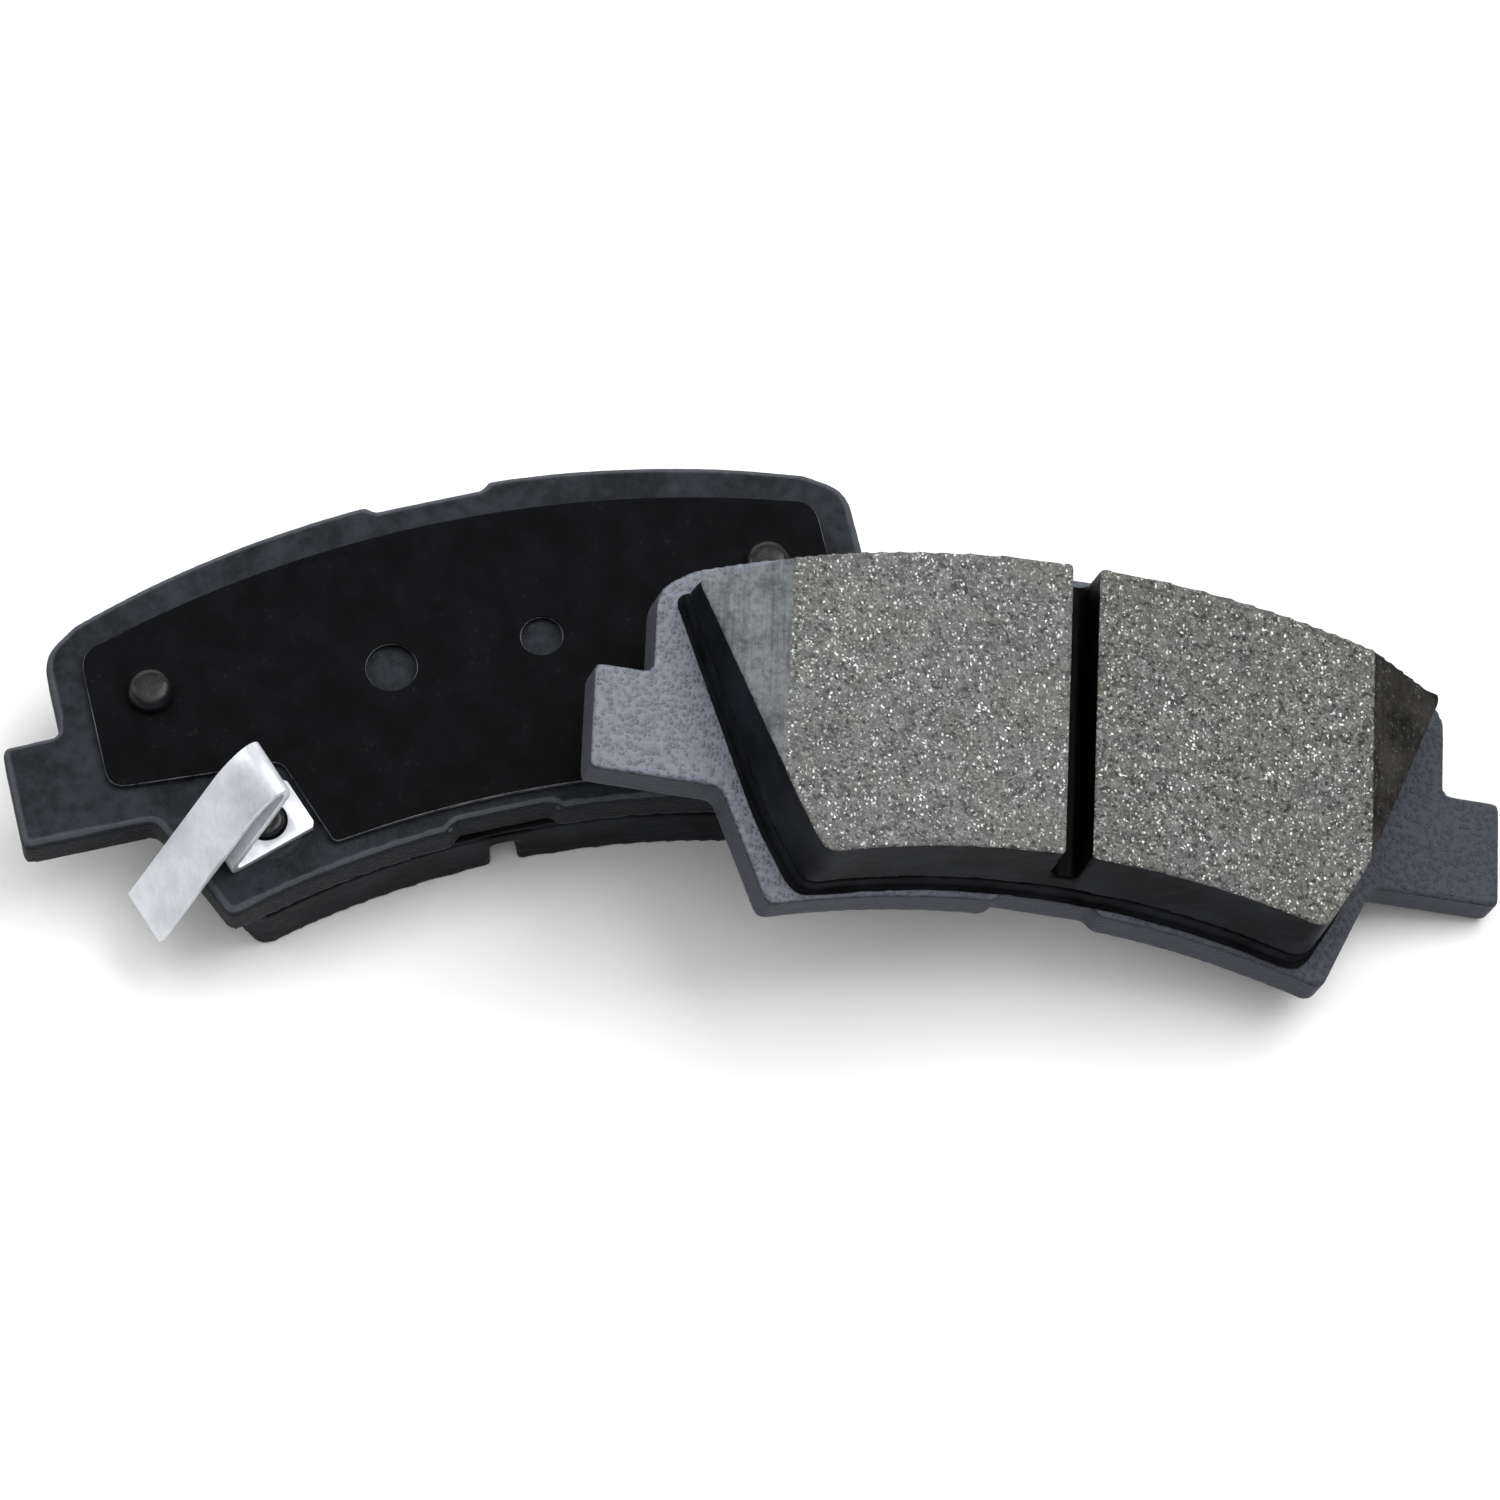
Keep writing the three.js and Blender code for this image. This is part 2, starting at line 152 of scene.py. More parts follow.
def inset_outline(points: Sequence[Point2], inset: float) -> list[Point2]:
    """Moves each point of an outline inwards.

    Args:
        points: The outline's points, counter-clockwise.
        inset: How far to move them; less than 0 moves them outwards.

    Returns:
        The moved points.
    """
    ring = np.array(points)
    ahead = np.roll(ring, -1, axis=0) - ring
    ahead /= np.maximum(np.linalg.norm(ahead, axis=1, keepdims=True), 1e-9)
    inward = np.stack([-ahead[:, 1], ahead[:, 0]], axis=1)
    bisector = inward + np.roll(inward, 1, axis=0)
    bisector /= np.maximum((bisector**2).sum(axis=1, keepdims=True) / 2, 0.35)
    return [tuple(row) for row in ring + bisector * inset]


def circle(x: float, y: float, radius: float, count: int = 56) -> list[Point2]:
    """Returns the points of a counter-clockwise circle."""
    turns = [2 * math.pi * step / count for step in range(count)]
    return [(x + radius * math.cos(turn), y + radius * math.sin(turn)) for turn in turns]


def loft(rings: Sequence[Sequence[Vector]], pole_ends: bool = False) -> bmesh.types.BMesh:
    """Skins a closed body over rings that have the same number of points.

    Args:
        rings: The rings from the first end to the last.
        pole_ends: Whether each end closes in a fan of triangles instead of one flat face.

    Returns:
        The body, with its faces pointing outwards.
    """
    body = bmesh.new()
    loops = [[body.verts.new(point) for point in ring] for ring in rings]
    count = len(loops[0])
    for low, high in zip(loops, loops[1:]):
        for index in range(count):
            after = (index + 1) % count
            body.faces.new((low[index], low[after], high[after], high[index]))
    for loop in (loops[0], loops[-1]):
        if not pole_ends:
            body.faces.new(loop)
            continue
        pole = body.verts.new(sum((vert.co for vert in loop), Vector()) / count)
        for index in range(count):
            body.faces.new((loop[index], loop[(index + 1) % count], pole))
    bmesh.ops.recalc_face_normals(body, faces=body.faces)
    return body


def plate_rings(outline: Sequence[Point2], profile: Sequence[Point2]) -> list[list[Vector]]:
    """Stacks an outline up a side profile.

    Args:
        outline: The outline's points, counter-clockwise.
        profile: Pairs of inset and height, from the lowest ring to the highest.

    Returns:
        One ring of points for each pair.
    """
    return [[Vector((x, y, z)) for x, y in inset_outline(outline, inset)] for inset, z in profile]


def rounded_profile(low: float, high: float, low_round: float, high_round: float) -> list[Point2]:
    """Returns the side profile of a plate whose two rims are rounded.

    Args:
        low: Height of the lower face.
        high: Height of the upper face.
        low_round: Radius of the lower rim.
        high_round: Radius of the upper rim.

    Returns:
        Pairs of inset and height.
    """
    turns = [math.radians(angle) for angle in (0, 22, 45, 68, 90)]
    lower = [(low_round * (1 - math.sin(t)), low + low_round * (1 - math.cos(t))) for t in turns]
    upper = [(high_round * (1 - math.cos(t)), high - high_round * (1 - math.sin(t))) for t in turns]
    return [*lower, *upper]


def revolve(profile: Sequence[Point2]) -> bmesh.types.BMesh:
    """Turns a profile of radius and height about Z into a closed body."""
    rings = [[Vector((x, y, height)) for x, y in circle(0, 0, radius)] for radius, height in profile]
    return loft(rings, pole_ends=True)


def fractal(place: Vector, size: float, octaves: int = 3) -> float:
    """Returns smooth noise of about -1 to 1 whose largest lumps are `size` millimetres."""
    return noise.fractal(place / size, 0.6, 2.1, octaves)


# --------------------------------------------------------------------------------------------
# Placing and finishing pieces
# --------------------------------------------------------------------------------------------


@dataclass
class Placement:
    """Where a pad lies: its frame's matrix, from millimetres to the scene's metres."""

    side: Side
    matrix: Matrix
    rotation: Matrix

    @classmethod
    def from_frame(cls, side: Side, stud_y: float) -> "Placement":
        """Works a pad's frame out from its two studs, its shim, its plate and its block.

        Args:
            side: The pad.
            stud_y: Height of the studs in the pad's frame.

        Returns:
            The pad's placement.
        """
        centres = [node_points(f"{side.value}_shim_stud_{end}").mean(axis=0) for end in ("left", "right")]
        block = node_points(f"{side.value}_friction_block").mean(axis=0)
        sheet = bpy.data.objects[f"{side.value}_shim_core"].data
        facing = Vector(max(sheet.polygons, key=lambda face: face.area).normal).normalized()
        if facing.dot(Vector(block - centres[0])) < 0:
            facing.negate()
        along = Vector(centres[0] - centres[1]).normalized()
        outward = facing.cross(along)
        middle = Vector((centres[0] + centres[1]) / 2)
        plate_front = (node_points(f"{side.value}_backing_plate") @ np.array(facing)).max()
        origin = middle - outward * stud_y * MM
        origin += facing * (plate_front - origin.dot(facing))
        rotation = Matrix((along, outward, facing)).transposed()
        matrix = Matrix.Translation(origin) @ rotation.to_4x4() @ Matrix.Scale(MM, 4)
        return cls(side, matrix, rotation)

    @property
    def body(self) -> str:
        """Name of the frame's body that this pad's pieces ride on."""
        return f"{self.side.value}_pad"


def node_points(node: str) -> np.ndarray:
    """Returns the corners of one of the frame's nodes, in metres."""
    return np.array([vert.co for vert in bpy.data.objects[node].data.vertices])


def to_object(name: str, body: bmesh.types.BMesh) -> bpy.types.Object:
    """Makes a scene object of a body and frees the body.

    Args:
        name: The object's name.
        body: The body.

    Returns:
        The object.
    """
    mesh = bpy.data.meshes.new(name)
    body.to_mesh(mesh)
    body.free()
    piece = bpy.data.objects.new(name, mesh)
    bpy.context.scene.collection.objects.link(piece)
    return piece


def bake_modifiers(piece: bpy.types.Object) -> None:
    """Replaces a piece's mesh by what its modifiers make of it, and removes them.

    Args:
        piece: The piece.
    """
    graph = bpy.context.evaluated_depsgraph_get()
    shaped = bpy.data.meshes.new_from_object(piece.evaluated_get(graph))
    old = piece.data
    piece.modifiers.clear()
    piece.data = shaped
    bpy.data.meshes.remove(old)


def modify(piece: bpy.types.Object, kind: str, **settings: object) -> None:
    """Puts one modifier on a piece and bakes it.

    Args:
        piece: The piece.
        kind: The modifier's type.
        settings: Its properties.
    """
    modifier = piece.modifiers.new(kind.lower(), kind)
    for key, value in settings.items():
        setattr(modifier, key, value)
    bake_modifiers(piece)


def remesh(piece: bpy.types.Object, voxel: float) -> None:
    """Rebuilds a piece as an even skin of small faces, which softens its edges a little."""
    modify(piece, "REMESH", mode="VOXEL", voxel_size=voxel)


def cut(piece: bpy.types.Object, name: str, body: bmesh.types.BMesh) -> None:
    """Cuts a closed body out of a piece.

    Args:
        piece: The piece.
        name: What the body cuts.
        body: The body, which is used up.
    """
    cutter = to_object(f"{name}_cutter", body)
    modify(piece, "BOOLEAN", operation="DIFFERENCE", solver="EXACT", object=cutter)
    bpy.data.objects.remove(cutter)


def bar(section: Sequence[Point2], reach: float) -> bmesh.types.BMesh:
    """Makes a bar along Y, `reach` long to each side, from its section in X and Z."""
    return loft([[Vector((x, y, z)) for x, z in section] for y in (-reach, reach)])


def drill(piece: bpy.types.Object, at: Point2, radius: float, low: float, high: float) -> None:
    """Cuts a round hole through a piece.

    Args:
        piece: The piece.
        at: The hole's middle.
        radius: The hole's radius.
        low: Height of the hole's lower end.
        high: Height of its upper end.
    """
    cut(piece, "hole", loft(plate_rings(circle(*at, radius), [(0.0, low), (0.0, high)])))


def displace(piece: bpy.types.Object, height: Callable[[Vector, Vector], float]) -> None:
    """Moves each vertex along its normal.

    Args:
        piece: The piece, in its pad's frame.
        height: Gives the move in millimetres for a place and a normal.
    """
    normals = [Vector(normal.vector) for normal in piece.data.vertex_normals]
    for vert, normal in zip(piece.data.vertices, normals):
        vert.co = vert.co + normal * height(vert.co, normal)


def clean(piece: bpy.types.Object) -> None:
    """Merges doubled vertices and turns every face outwards.

    Args:
        piece: The piece.
    """
    body = bmesh.new()
    body.from_mesh(piece.data)
    bmesh.ops.remove_doubles(body, verts=body.verts, dist=MERGE_DISTANCE)
    bmesh.ops.dissolve_degenerate(body, dist=MERGE_DISTANCE, edges=body.edges)
    bmesh.ops.recalc_face_normals(body, faces=body.faces)
    body.to_mesh(piece.data)
    body.free()


# --------------------------------------------------------------------------------------------
# Node trees
# --------------------------------------------------------------------------------------------


def feed(tree: bpy.types.NodeTree, target: bpy.types.NodeSocket, value: object) -> None:
    """Feeds one input of a node.

    Args:
        tree: The node's tree.
        target: The input.
        value: A Num, a socket or a node to link, or a constant.
    """
    source = value.outputs[0] if isinstance(value, bpy.types.Node) else getattr(value, "socket", value)
    if isinstance(source, bpy.types.NodeSocket):
        tree.links.new(source, target)
    elif target.type == "RGBA":
        target.default_value = (*source, 1.0)
    else:
        target.default_value = source


def add_node(
    tree: bpy.types.NodeTree, kind: str, settings: dict | None = None, values: dict | None = None
) -> bpy.types.Node:
    """Adds a node to a tree.

    Args:
        tree: The tree.
        kind: The node's type.
        settings: Its properties, which are set first.
        values: Its inputs by name or index, each a constant or what to link.

    Returns:
        The node.
    """
    made = tree.nodes.new(kind)
    for key, value in (settings or {}).items():
        setattr(made, key, value)
    for key, value in (values or {}).items():
        feed(tree, made.inputs[key], value)
    return made


@dataclass(frozen=True)
class Cloud:
    """Soft noise: size of its lumps in millimetres, finer detail, place, stretch and distortion."""

    size: float
    detail: float = 3.0
    rough: float = 0.55
    shift: float = 0.0
    stretch: Triple = EVEN
    warp: float = 0.0


@dataclass(frozen=True)
class Grain:
    """Packed grains: their size in millimetres, place, stretch and how ragged they are."""

    size: float
    shift: float = 0.0
    stretch: Triple = EVEN
    warp: float = 0.35


class Num:
    """A number socket that takes part in Python arithmetic."""

    def __init__(self, graph: "Graph", socket: bpy.types.NodeSocket) -> None:
        """Wraps a socket of a graph."""
        self.graph = graph
        self.socket = socket

    def _math(self, operation: str, *values: "Num | float") -> "Num":
        """Adds a Math node to the graph and returns its result."""
        return Num(self.graph, self.graph.node("Math", {"operation": operation}, dict(enumerate(values))))

    def __add__(self, other: "Num | float") -> "Num":
        """Adds."""
        return self._math("ADD", self, other)

    def __radd__(self, other: float) -> "Num":
        """Adds, from the right."""
        return self._math("ADD", other, self)

    def __sub__(self, other: "Num | float") -> "Num":
        """Subtracts."""
        return self._math("SUBTRACT", self, other)

    def __rsub__(self, other: float) -> "Num":
        """Subtracts this from a number."""
        return self._math("SUBTRACT", other, self)

    def __mul__(self, other: "Num | float") -> "Num":
        """Multiplies."""
        return self._math("MULTIPLY", self, other)

    def __rmul__(self, other: float) -> "Num":
        """Multiplies, from the right."""
        return self._math("MULTIPLY", other, self)

    def __abs__(self) -> "Num":
        """Drops the sign."""
        return self._math("ABSOLUTE", self)

    def at_least(self, other: "Num | float") -> "Num":
        """Returns the larger of the two."""
        return self._math("MAXIMUM", self, other)

    def ramp(self, low: float, high: float) -> "Num":
        """Rises smoothly from 0 at `low` to 1 at `high`, or falls if `high` is the smaller."""
        ends = {"Value": self, "From Min": low, "From Max": high}
        return Num(self.graph, self.graph.node("MapRange", {"interpolation_type": "SMOOTHSTEP"}, ends))


Fed = Num | float | Colour | bpy.types.NodeSocket


class Graph:
    """Builds one material's node tree on a pad's own coordinates, in millimetres."""

    def __init__(self, name: str, place: Placement) -> None:
        """Starts a material.

        Args:
            name: The material's name.
            place: The pad whose frame the patterns follow.
        """
        self.material = bpy.data.materials.new(name)
        self.material.use_nodes = True
        self.tree = self.material.node_tree
        self.tree.nodes.clear()
        coords = self.tree.nodes.new("ShaderNodeTexCoord")
        frame = {
            "Vector": coords.outputs["Object"],
            "Location": place.matrix.to_translation(),
            "Rotation": place.rotation.to_euler(),
            "Scale": (MM, MM, MM),
        }
        self.place = self.node("Mapping", {"vector_type": "TEXTURE"}, frame)
        split = add_node(self.tree, "ShaderNodeSeparateXYZ", None, {"Vector": self.place})
        self.x, self.y, self.z = (Num(self, socket) for socket in split.outputs)
        pair = {0: coords.outputs["Normal"], 1: place.rotation.col[2]}
        square_on = self.node("VectorMath", {"operation": "DOT_PRODUCT"}, pair, "Value")
        self.flatness = abs(Num(self, square_on))

    def node(
        self, kind: str, settings: dict | None = None, values: dict | None = None, output: int | str = 0
    ) -> bpy.types.NodeSocket:
        """Adds a shader node.

        Args:
            kind: The node's type, without the words that all of them start with.
            settings: Its properties, which are set first.
            values: Its inputs by name or index, each a constant or what to link.
            output: Name or index of the output that is wanted.

        Returns:
            That output.
        """
        return add_node(self.tree, f"ShaderNode{kind}", settings, values).outputs[output]

    def stretched(self, scale: Triple, shift: float) -> bpy.types.NodeSocket:
        """Returns the pad's coordinates, scaled on each axis and shifted."""
        moved = (shift, 1.7 * shift, 0.6 * shift)
        return self.node("Mapping", None, {"Vector": self.place, "Scale": scale, "Location": moved})

    def clouds(self, cloud: Cloud) -> Num:
        """Adds soft noise.

        Args:
            cloud: What the noise is like.

        Returns:
            The noise, from 0 to 1.
        """
        values = {
            "Vector": self.stretched(cloud.stretch, cloud.shift),
            "Scale": 1 / cloud.size,
            "Detail": cloud.detail,
            "Roughness": cloud.rough,
            "Distortion": cloud.warp,
        }
        return Num(self, self.node("TexNoise", None, values))

    def grains(self, grain: Grain) -> tuple[Num, Num, Num]:
        """Breaks the surface into grains.

        Args:
            grain: What the grains are like.

        Returns:
            The distance from each grain's middle, in grains, and two random numbers per grain.
        """
        wobble = {"Vector": self.stretched(EVEN, grain.shift + 3), "Scale": 2.2 / grain.size}
        push = {
            0: self.node("TexNoise", None, wobble, "Color"),
            1: (grain.warp * grain.size,) * 3,
            2: self.stretched(grain.stretch, grain.shift),
        }
        pushed = self.node("VectorMath", {"operation": "MULTIPLY_ADD"}, push)
        values = {"Vector": pushed, "Scale": 1 / grain.size}
        cells = add_node(self.tree, "ShaderNodeTexVoronoi", {"feature": "F1"}, values)
        tints = add_node(self.tree, "ShaderNodeSeparateColor", None, {"Color": cells.outputs["Color"]})
        chosen = (cells.outputs["Distance"], tints.outputs[0], tints.outputs[1])
        return tuple(Num(self, socket) for socket in chosen)

    def blend(self, factor: Fed, low: Fed, high: Fed) -> bpy.types.NodeSocket:
        """Mixes two colours, from `low` at 0 to `high` at 1."""
        return self.node("Mix", {"data_type": "RGBA"}, {0: factor, 6: low, 7: high}, 2)

    def relief(self, *layers: tuple[Num, float]) -> bpy.types.NodeSocket:
        """Chains Bump nodes.

        Args:
            layers: Pairs of height field and its depth in millimetres.

        Returns:
            The bumped normal.
        """
        before = {}
        for height, depth in layers:
            values = {"Height": height, "Distance": depth * MM, "Strength": 1.0, **before}
            before = {"Normal": self.node("Bump", None, values)}
        return before["Normal"]

    def surface(self, sockets: dict[str, Fed]) -> bpy.types.Material:
        """Adds the surface shader, which completes the material.

        Args:
            sockets: The shader's inputs by name.

        Returns:
            The material.
        """
        shader = self.node("BsdfPrincipled", None, sockets)
        add_node(self.tree, "ShaderNodeOutputMaterial", None, {"Surface": shader})
        return self.material


# --------------------------------------------------------------------------------------------
# Finishes
# --------------------------------------------------------------------------------------------


@dataclass(frozen=True)
class Finish:
    """What every finish has in common: one material for each pad, on the pad's coordinates."""

    def make(self, name: str, place: Placement) -> bpy.types.Material:
        """Builds the material for one pad."""
        graph = Graph(name, place)
        return graph.surface(self.sockets(graph))

    def sockets(self, graph: Graph) -> dict[str, Fed]:
        """Returns the surface shader's inputs by name."""
        raise NotImplementedError


@dataclass(frozen=True)
class PowderCoat(Finish):
    """Satin powder coat over blanked steel: pebbled, with lighter and darker patches."""

    dark: Colour = (0.0085, 0.0098, 0.012)
    light: Colour = (0.026, 0.0295, 0.035)
    front_dark: Colour = (0.055, 0.060, 0.071)
    front_painted_highlight: Colour = (0.205, 0.217, 0.254)
    edge: Colour = (0.054, 0.058, 0.070)
    rim_painted_highlight: Colour = (0.085, 0.094, 0.106)
    front_reach: float = 46.0
    patches: Cloud = Cloud(7.0, 4, 0.6, warp=0.6)
    mottle: Cloud = Cloud(1.3, 3, 0.6, shift=11)
    specks: Cloud = Cloud(0.35, 2, 0.5, shift=23)
    waves: Cloud = Cloud(3.0, 2, 0.5, shift=7)
    pebble: Grain = Grain(0.46, shift=5)

    def sockets(self, graph: Graph) -> dict[str, Fed]:
        """Colours the plate's front with a painted highlight that fades from its -X end to its +X end, and
        paints highlights on the rims of its back.

        Args:
            graph: The material's graph.

        Returns:
            The surface shader's inputs.
        """
        mottle, specks = graph.clouds(self.mottle), graph.clouds(self.specks)
        middle, tint, _ = graph.grains(self.pebble)
        pebbles = (1 - middle.ramp(0.15, 0.75)) * tint.ramp(0.1, 0.6)
        tone = (graph.clouds(self.patches) * 0.6 + mottle * 0.4).ramp(0.33, 0.68)
        base = graph.blend(tone, self.dark, self.light)
        # Painted highlight: the front runs from a lit colour at the -X end to a shaded one at the +X end.
        painted_highlight_side = graph.x.ramp(self.front_reach, -self.front_reach)
        front_tone = graph.blend(painted_highlight_side, self.front_dark, self.front_painted_highlight)
        front_tone = graph.blend(mottle.ramp(0.3, 0.8) * 0.35 + pebbles * 0.18, front_tone, self.front_dark)
        front = graph.z.ramp(-0.5, -0.12)
        base = graph.blend(front, base, front_tone)
        # The blanked edge takes the edge colour; on the inner plate that colour is a painted shade.
        base = graph.blend(graph.flatness.ramp(0.45, 0.2), base, self.edge)
        # Painted highlight on the rounded rims of the plate's back.
        rim = graph.flatness.ramp(0.985, 0.9) * graph.flatness.ramp(0.35, 0.6) * (1 - front)
        layers = (
            (graph.clouds(self.waves), 0.12),
            (pebbles * (0.25 + 0.75 * front), 0.20),
            (specks, 0.02),
        )
        return {
            "Base Color": graph.blend(rim * (0.4 + 0.5 * mottle), base, self.rim_painted_highlight),
            "Roughness": 0.42 + 0.16 * mottle + 0.1 * specks,
            "Normal": graph.relief(*layers),
            "Specular IOR Level": 0.07,
        }


@dataclass(frozen=True)
class FrictionCompound(Finish):
    """Friction material: ground and speckled on its face, dark and moulded on its sides."""

    heel_x: float
    top: float
    chamfer: float
    slot_half_width: float
    shade: Colour = (0.070, 0.072, 0.070)
    grey: Colour = (0.175, 0.178, 0.174)
    olive: Colour = (0.125, 0.121, 0.102)
    pale_grit: Colour = (0.34, 0.34, 0.325)
    dark_grit: Colour = (0.055, 0.055, 0.053)
    metal: Colour = (0.90, 0.91, 0.90)
    pit: Colour = (0.020, 0.020, 0.020)
    skin_dark: Colour = (0.0035, 0.0038, 0.0050)
    skin_light: Colour = (0.0125, 0.0140, 0.0190)
    slot_shade: Colour = (0.0015, 0.0015, 0.0013)
    painted_lit_chamfer: tuple[Colour, Colour] = ((0.066, 0.072, 0.076), (0.195, 0.206, 0.212))
    painted_shaded_chamfer: tuple[Colour, Colour] = ((0.008, 0.0076, 0.007), (0.036, 0.0345, 0.032))
    torn_edge: Cloud = Cloud(0.8, 2, shift=31)
    streaks: Cloud = Cloud(0.42, 3, 0.65, shift=41, stretch=(1, 0.035, 1))
    mottle: Cloud = Cloud(0.7, 4, 0.7, shift=43)
    lumps: Cloud = Cloud(5.0, 3, 0.6, shift=47)
    soft: Cloud = Cloud(6.0, 3, 0.5, shift=53)
    grit: Cloud = Cloud(0.28, 3, 0.7, shift=59)
    warm: Cloud = Cloud(9.0, 4, 0.6, shift=67)
    cloudy: Cloud = Cloud(1.6, 4, 0.7, shift=71)
    clusters: Cloud = Cloud(3.2, 4, 0.65, shift=89)
    pits: Grain = Grain(0.75, shift=61)
    fine: Grain = Grain(0.20, shift=73, warp=0.6)
    middling: Grain = Grain(0.37, shift=79, warp=0.7)
    chips: Grain = Grain(0.35, shift=83, stretch=(1, 0.7, 1), warp=0.8)

    def sockets(self, graph: Graph) -> dict[str, Fed]:
        """Puts the ground face, the chamfers, the slot and the moulded skin in their places.

        Args:
            graph: The material's graph.

        Returns:
            The surface shader's inputs.
        """
        past_heel = (abs(graph.x) - self.heel_x).at_least(0.0)
        ragged = graph.clouds(self.torn_edge) * 0.22
        ground_top = self.top - past_heel * math.tan(self.chamfer)
        ground = (graph.z - ground_top + ragged).ramp(-0.34, -0.16)
        ramp_face = (past_heel + ragged).ramp(0.05, 0.3)
        face, bright = self._face(graph)
        streaks, soft = graph.clouds(self.streaks), graph.clouds(self.soft)
        chamfer = graph.blend(bright * 0.07, self._chamfer(graph, streaks), self.metal)
        worked = graph.blend(ramp_face, face, chamfer)
        skin = graph.blend(soft.ramp(0.3, 0.75), self.skin_dark, self.skin_light)
        in_slot = abs(graph.x).ramp(self.slot_half_width + 0.12, self.slot_half_width + 0.04)
        skin = graph.blend(in_slot, skin, self.slot_shade)
        metal_share = ground * bright * (1 - 0.85 * ramp_face)
        pit_middle, pit_tint, _ = graph.grains(self.pits)
        pits = (1 - pit_middle.ramp(0.1, 0.55)) * pit_tint.ramp(0.62, 0.8)
        layers = (
            (soft, 0.25),
            (graph.clouds(self.grit) * ground + bright * 0.5 * ground, 0.07),
            (0 - pits * ground, 0.12),
            (streaks * ramp_face * ground, 0.025),
        )
        return {
            "Base Color": graph.blend(ground, skin, worked),
            "Roughness": 0.36 + ground * 0.3 - metal_share * 0.34 + soft * 0.08,
            "Metallic": metal_share * 0.7,
            "Normal": graph.relief(*layers),
            "Specular IOR Level": 0.03,
        }

    def _chamfer(self, graph: Graph, streaks: Num) -> bpy.types.NodeSocket:
        """Colours the chamfers: lighter at the -X end of the pad as painted light, darker at the +X end as
        painted shade.

        Args:
            graph: The material's graph.
            streaks: Grinding marks.

        Returns:
            The colour.
        """
        wear = streaks * 0.25 + graph.clouds(self.mottle) * 0.35 + graph.clouds(self.lumps) * 0.55
        wear = wear.ramp(0.42, 0.74)
        near, far = graph.blend(wear, *self.painted_lit_chamfer), graph.blend(wear, *self.painted_shaded_chamfer)
        # Painted light and shade: the chamfer at -X takes the lit colours, the one at +X the shaded ones.
        return graph.blend(graph.x.ramp(-1.0, 1.0), near, far)

    def _face(self, graph: Graph) -> tuple[bpy.types.NodeSocket, Num]:
        """Colours the ground face.

        Args:
            graph: The material's graph.

        Returns:
            The colour, and how far each spot is bare metal.
        """
        _, fine_tint, fine_other = graph.grains(self.fine)
        _, middling_tint, _ = graph.grains(self.middling)
        chip_middle, chip_tint, chip_other = graph.grains(self.chips)
        chips = chip_tint.ramp(0.87, 0.90) * (1 - chip_middle.ramp(0.2, 0.5)) * 0.9
        sparks = fine_tint.ramp(0.90, 0.95) * chip_other.ramp(0.3, 0.7)
        clusters = graph.clouds(self.clusters).ramp(0.36, 0.62)
        bright = chips.at_least(sparks * 0.8) * (0.45 + 0.55 * clusters)
        base = graph.blend(graph.clouds(self.cloudy).ramp(0.3, 0.7), self.shade, self.grey)
        layers = (
            (graph.clouds(self.warm).ramp(0.42, 0.66) * 0.55, self.olive),
            (fine_tint.ramp(0.45, 0.95) * 0.5, self.pale_grit),
            (fine_other.ramp(0.7, 0.9) * 0.65, self.dark_grit),
            (middling_tint.ramp(0.86, 0.91) * 0.7, self.pit),
            (bright, self.metal),
        )
        for cover, colour in layers:
            base = graph.blend(cover, base, colour)
        return base, bright


@dataclass(frozen=True)
class MouldedResin(Finish):
    """Dark moulded underlayer or squeezed-out bonding resin."""

    dark: Colour = (0.003, 0.0032, 0.004)
    light: Colour = (0.010, 0.011, 0.014)
    rough: float = 0.42
    soft: Cloud = Cloud(5.0, 4, 0.55, shift=91)
    fine: Cloud = Cloud(0.5, 3, 0.6, shift=93)

    def sockets(self, graph: Graph) -> dict[str, Fed]:
        """Mottles the resin softly.

        Args:
            graph: The material's graph.

        Returns:
            The surface shader's inputs.
        """
        soft, fine = graph.clouds(self.soft), graph.clouds(self.fine)
        return {
            "Base Color": graph.blend(soft.ramp(0.3, 0.72), self.dark, self.light),
            "Roughness": self.rough + 0.2 * fine,
            "Normal": graph.relief((soft, 0.2), (fine, 0.03)),
            "Specular IOR Level": 0.03,
        }


@dataclass(frozen=True)
class ShimRubber(Finish):
    """Matte black rubber skin of the noise shim, with a very fine grain."""

    dark: Colour = (0.0022, 0.0023, 0.0028)
    light: Colour = (0.0048, 0.0050, 0.0058)
    dust: Colour = (0.05, 0.05, 0.052)
    grain: Cloud = Cloud(0.16, 2, 0.6, shift=101)
    cloth: Cloud = Cloud(4.0, 5, 0.65, shift=103, stretch=(1, 0.8, 1))
    dust_specks: Grain = Grain(0.28, shift=107)

    def sockets(self, graph: Graph) -> dict[str, Fed]:
        """Lays a little dust on the rubber.

        Args:
            graph: The material's graph.

        Returns:
            The surface shader's inputs.
        """
        grain, cloth = graph.clouds(self.grain), graph.clouds(self.cloth)
        _, specks, _ = graph.grains(self.dust_specks)
        dusty = specks.ramp(0.96, 0.985) * cloth.ramp(0.45, 0.6)
        base = graph.blend(cloth.ramp(0.3, 0.75), self.dark, self.light)
        return {
            "Base Color": graph.blend(dusty * 0.10, base, self.dust),
            "Roughness": 0.58 + 0.16 * cloth,
            "Normal": graph.relief((cloth, 0.03), (grain, 0.012)),
            "Specular IOR Level": 0.035,
        }


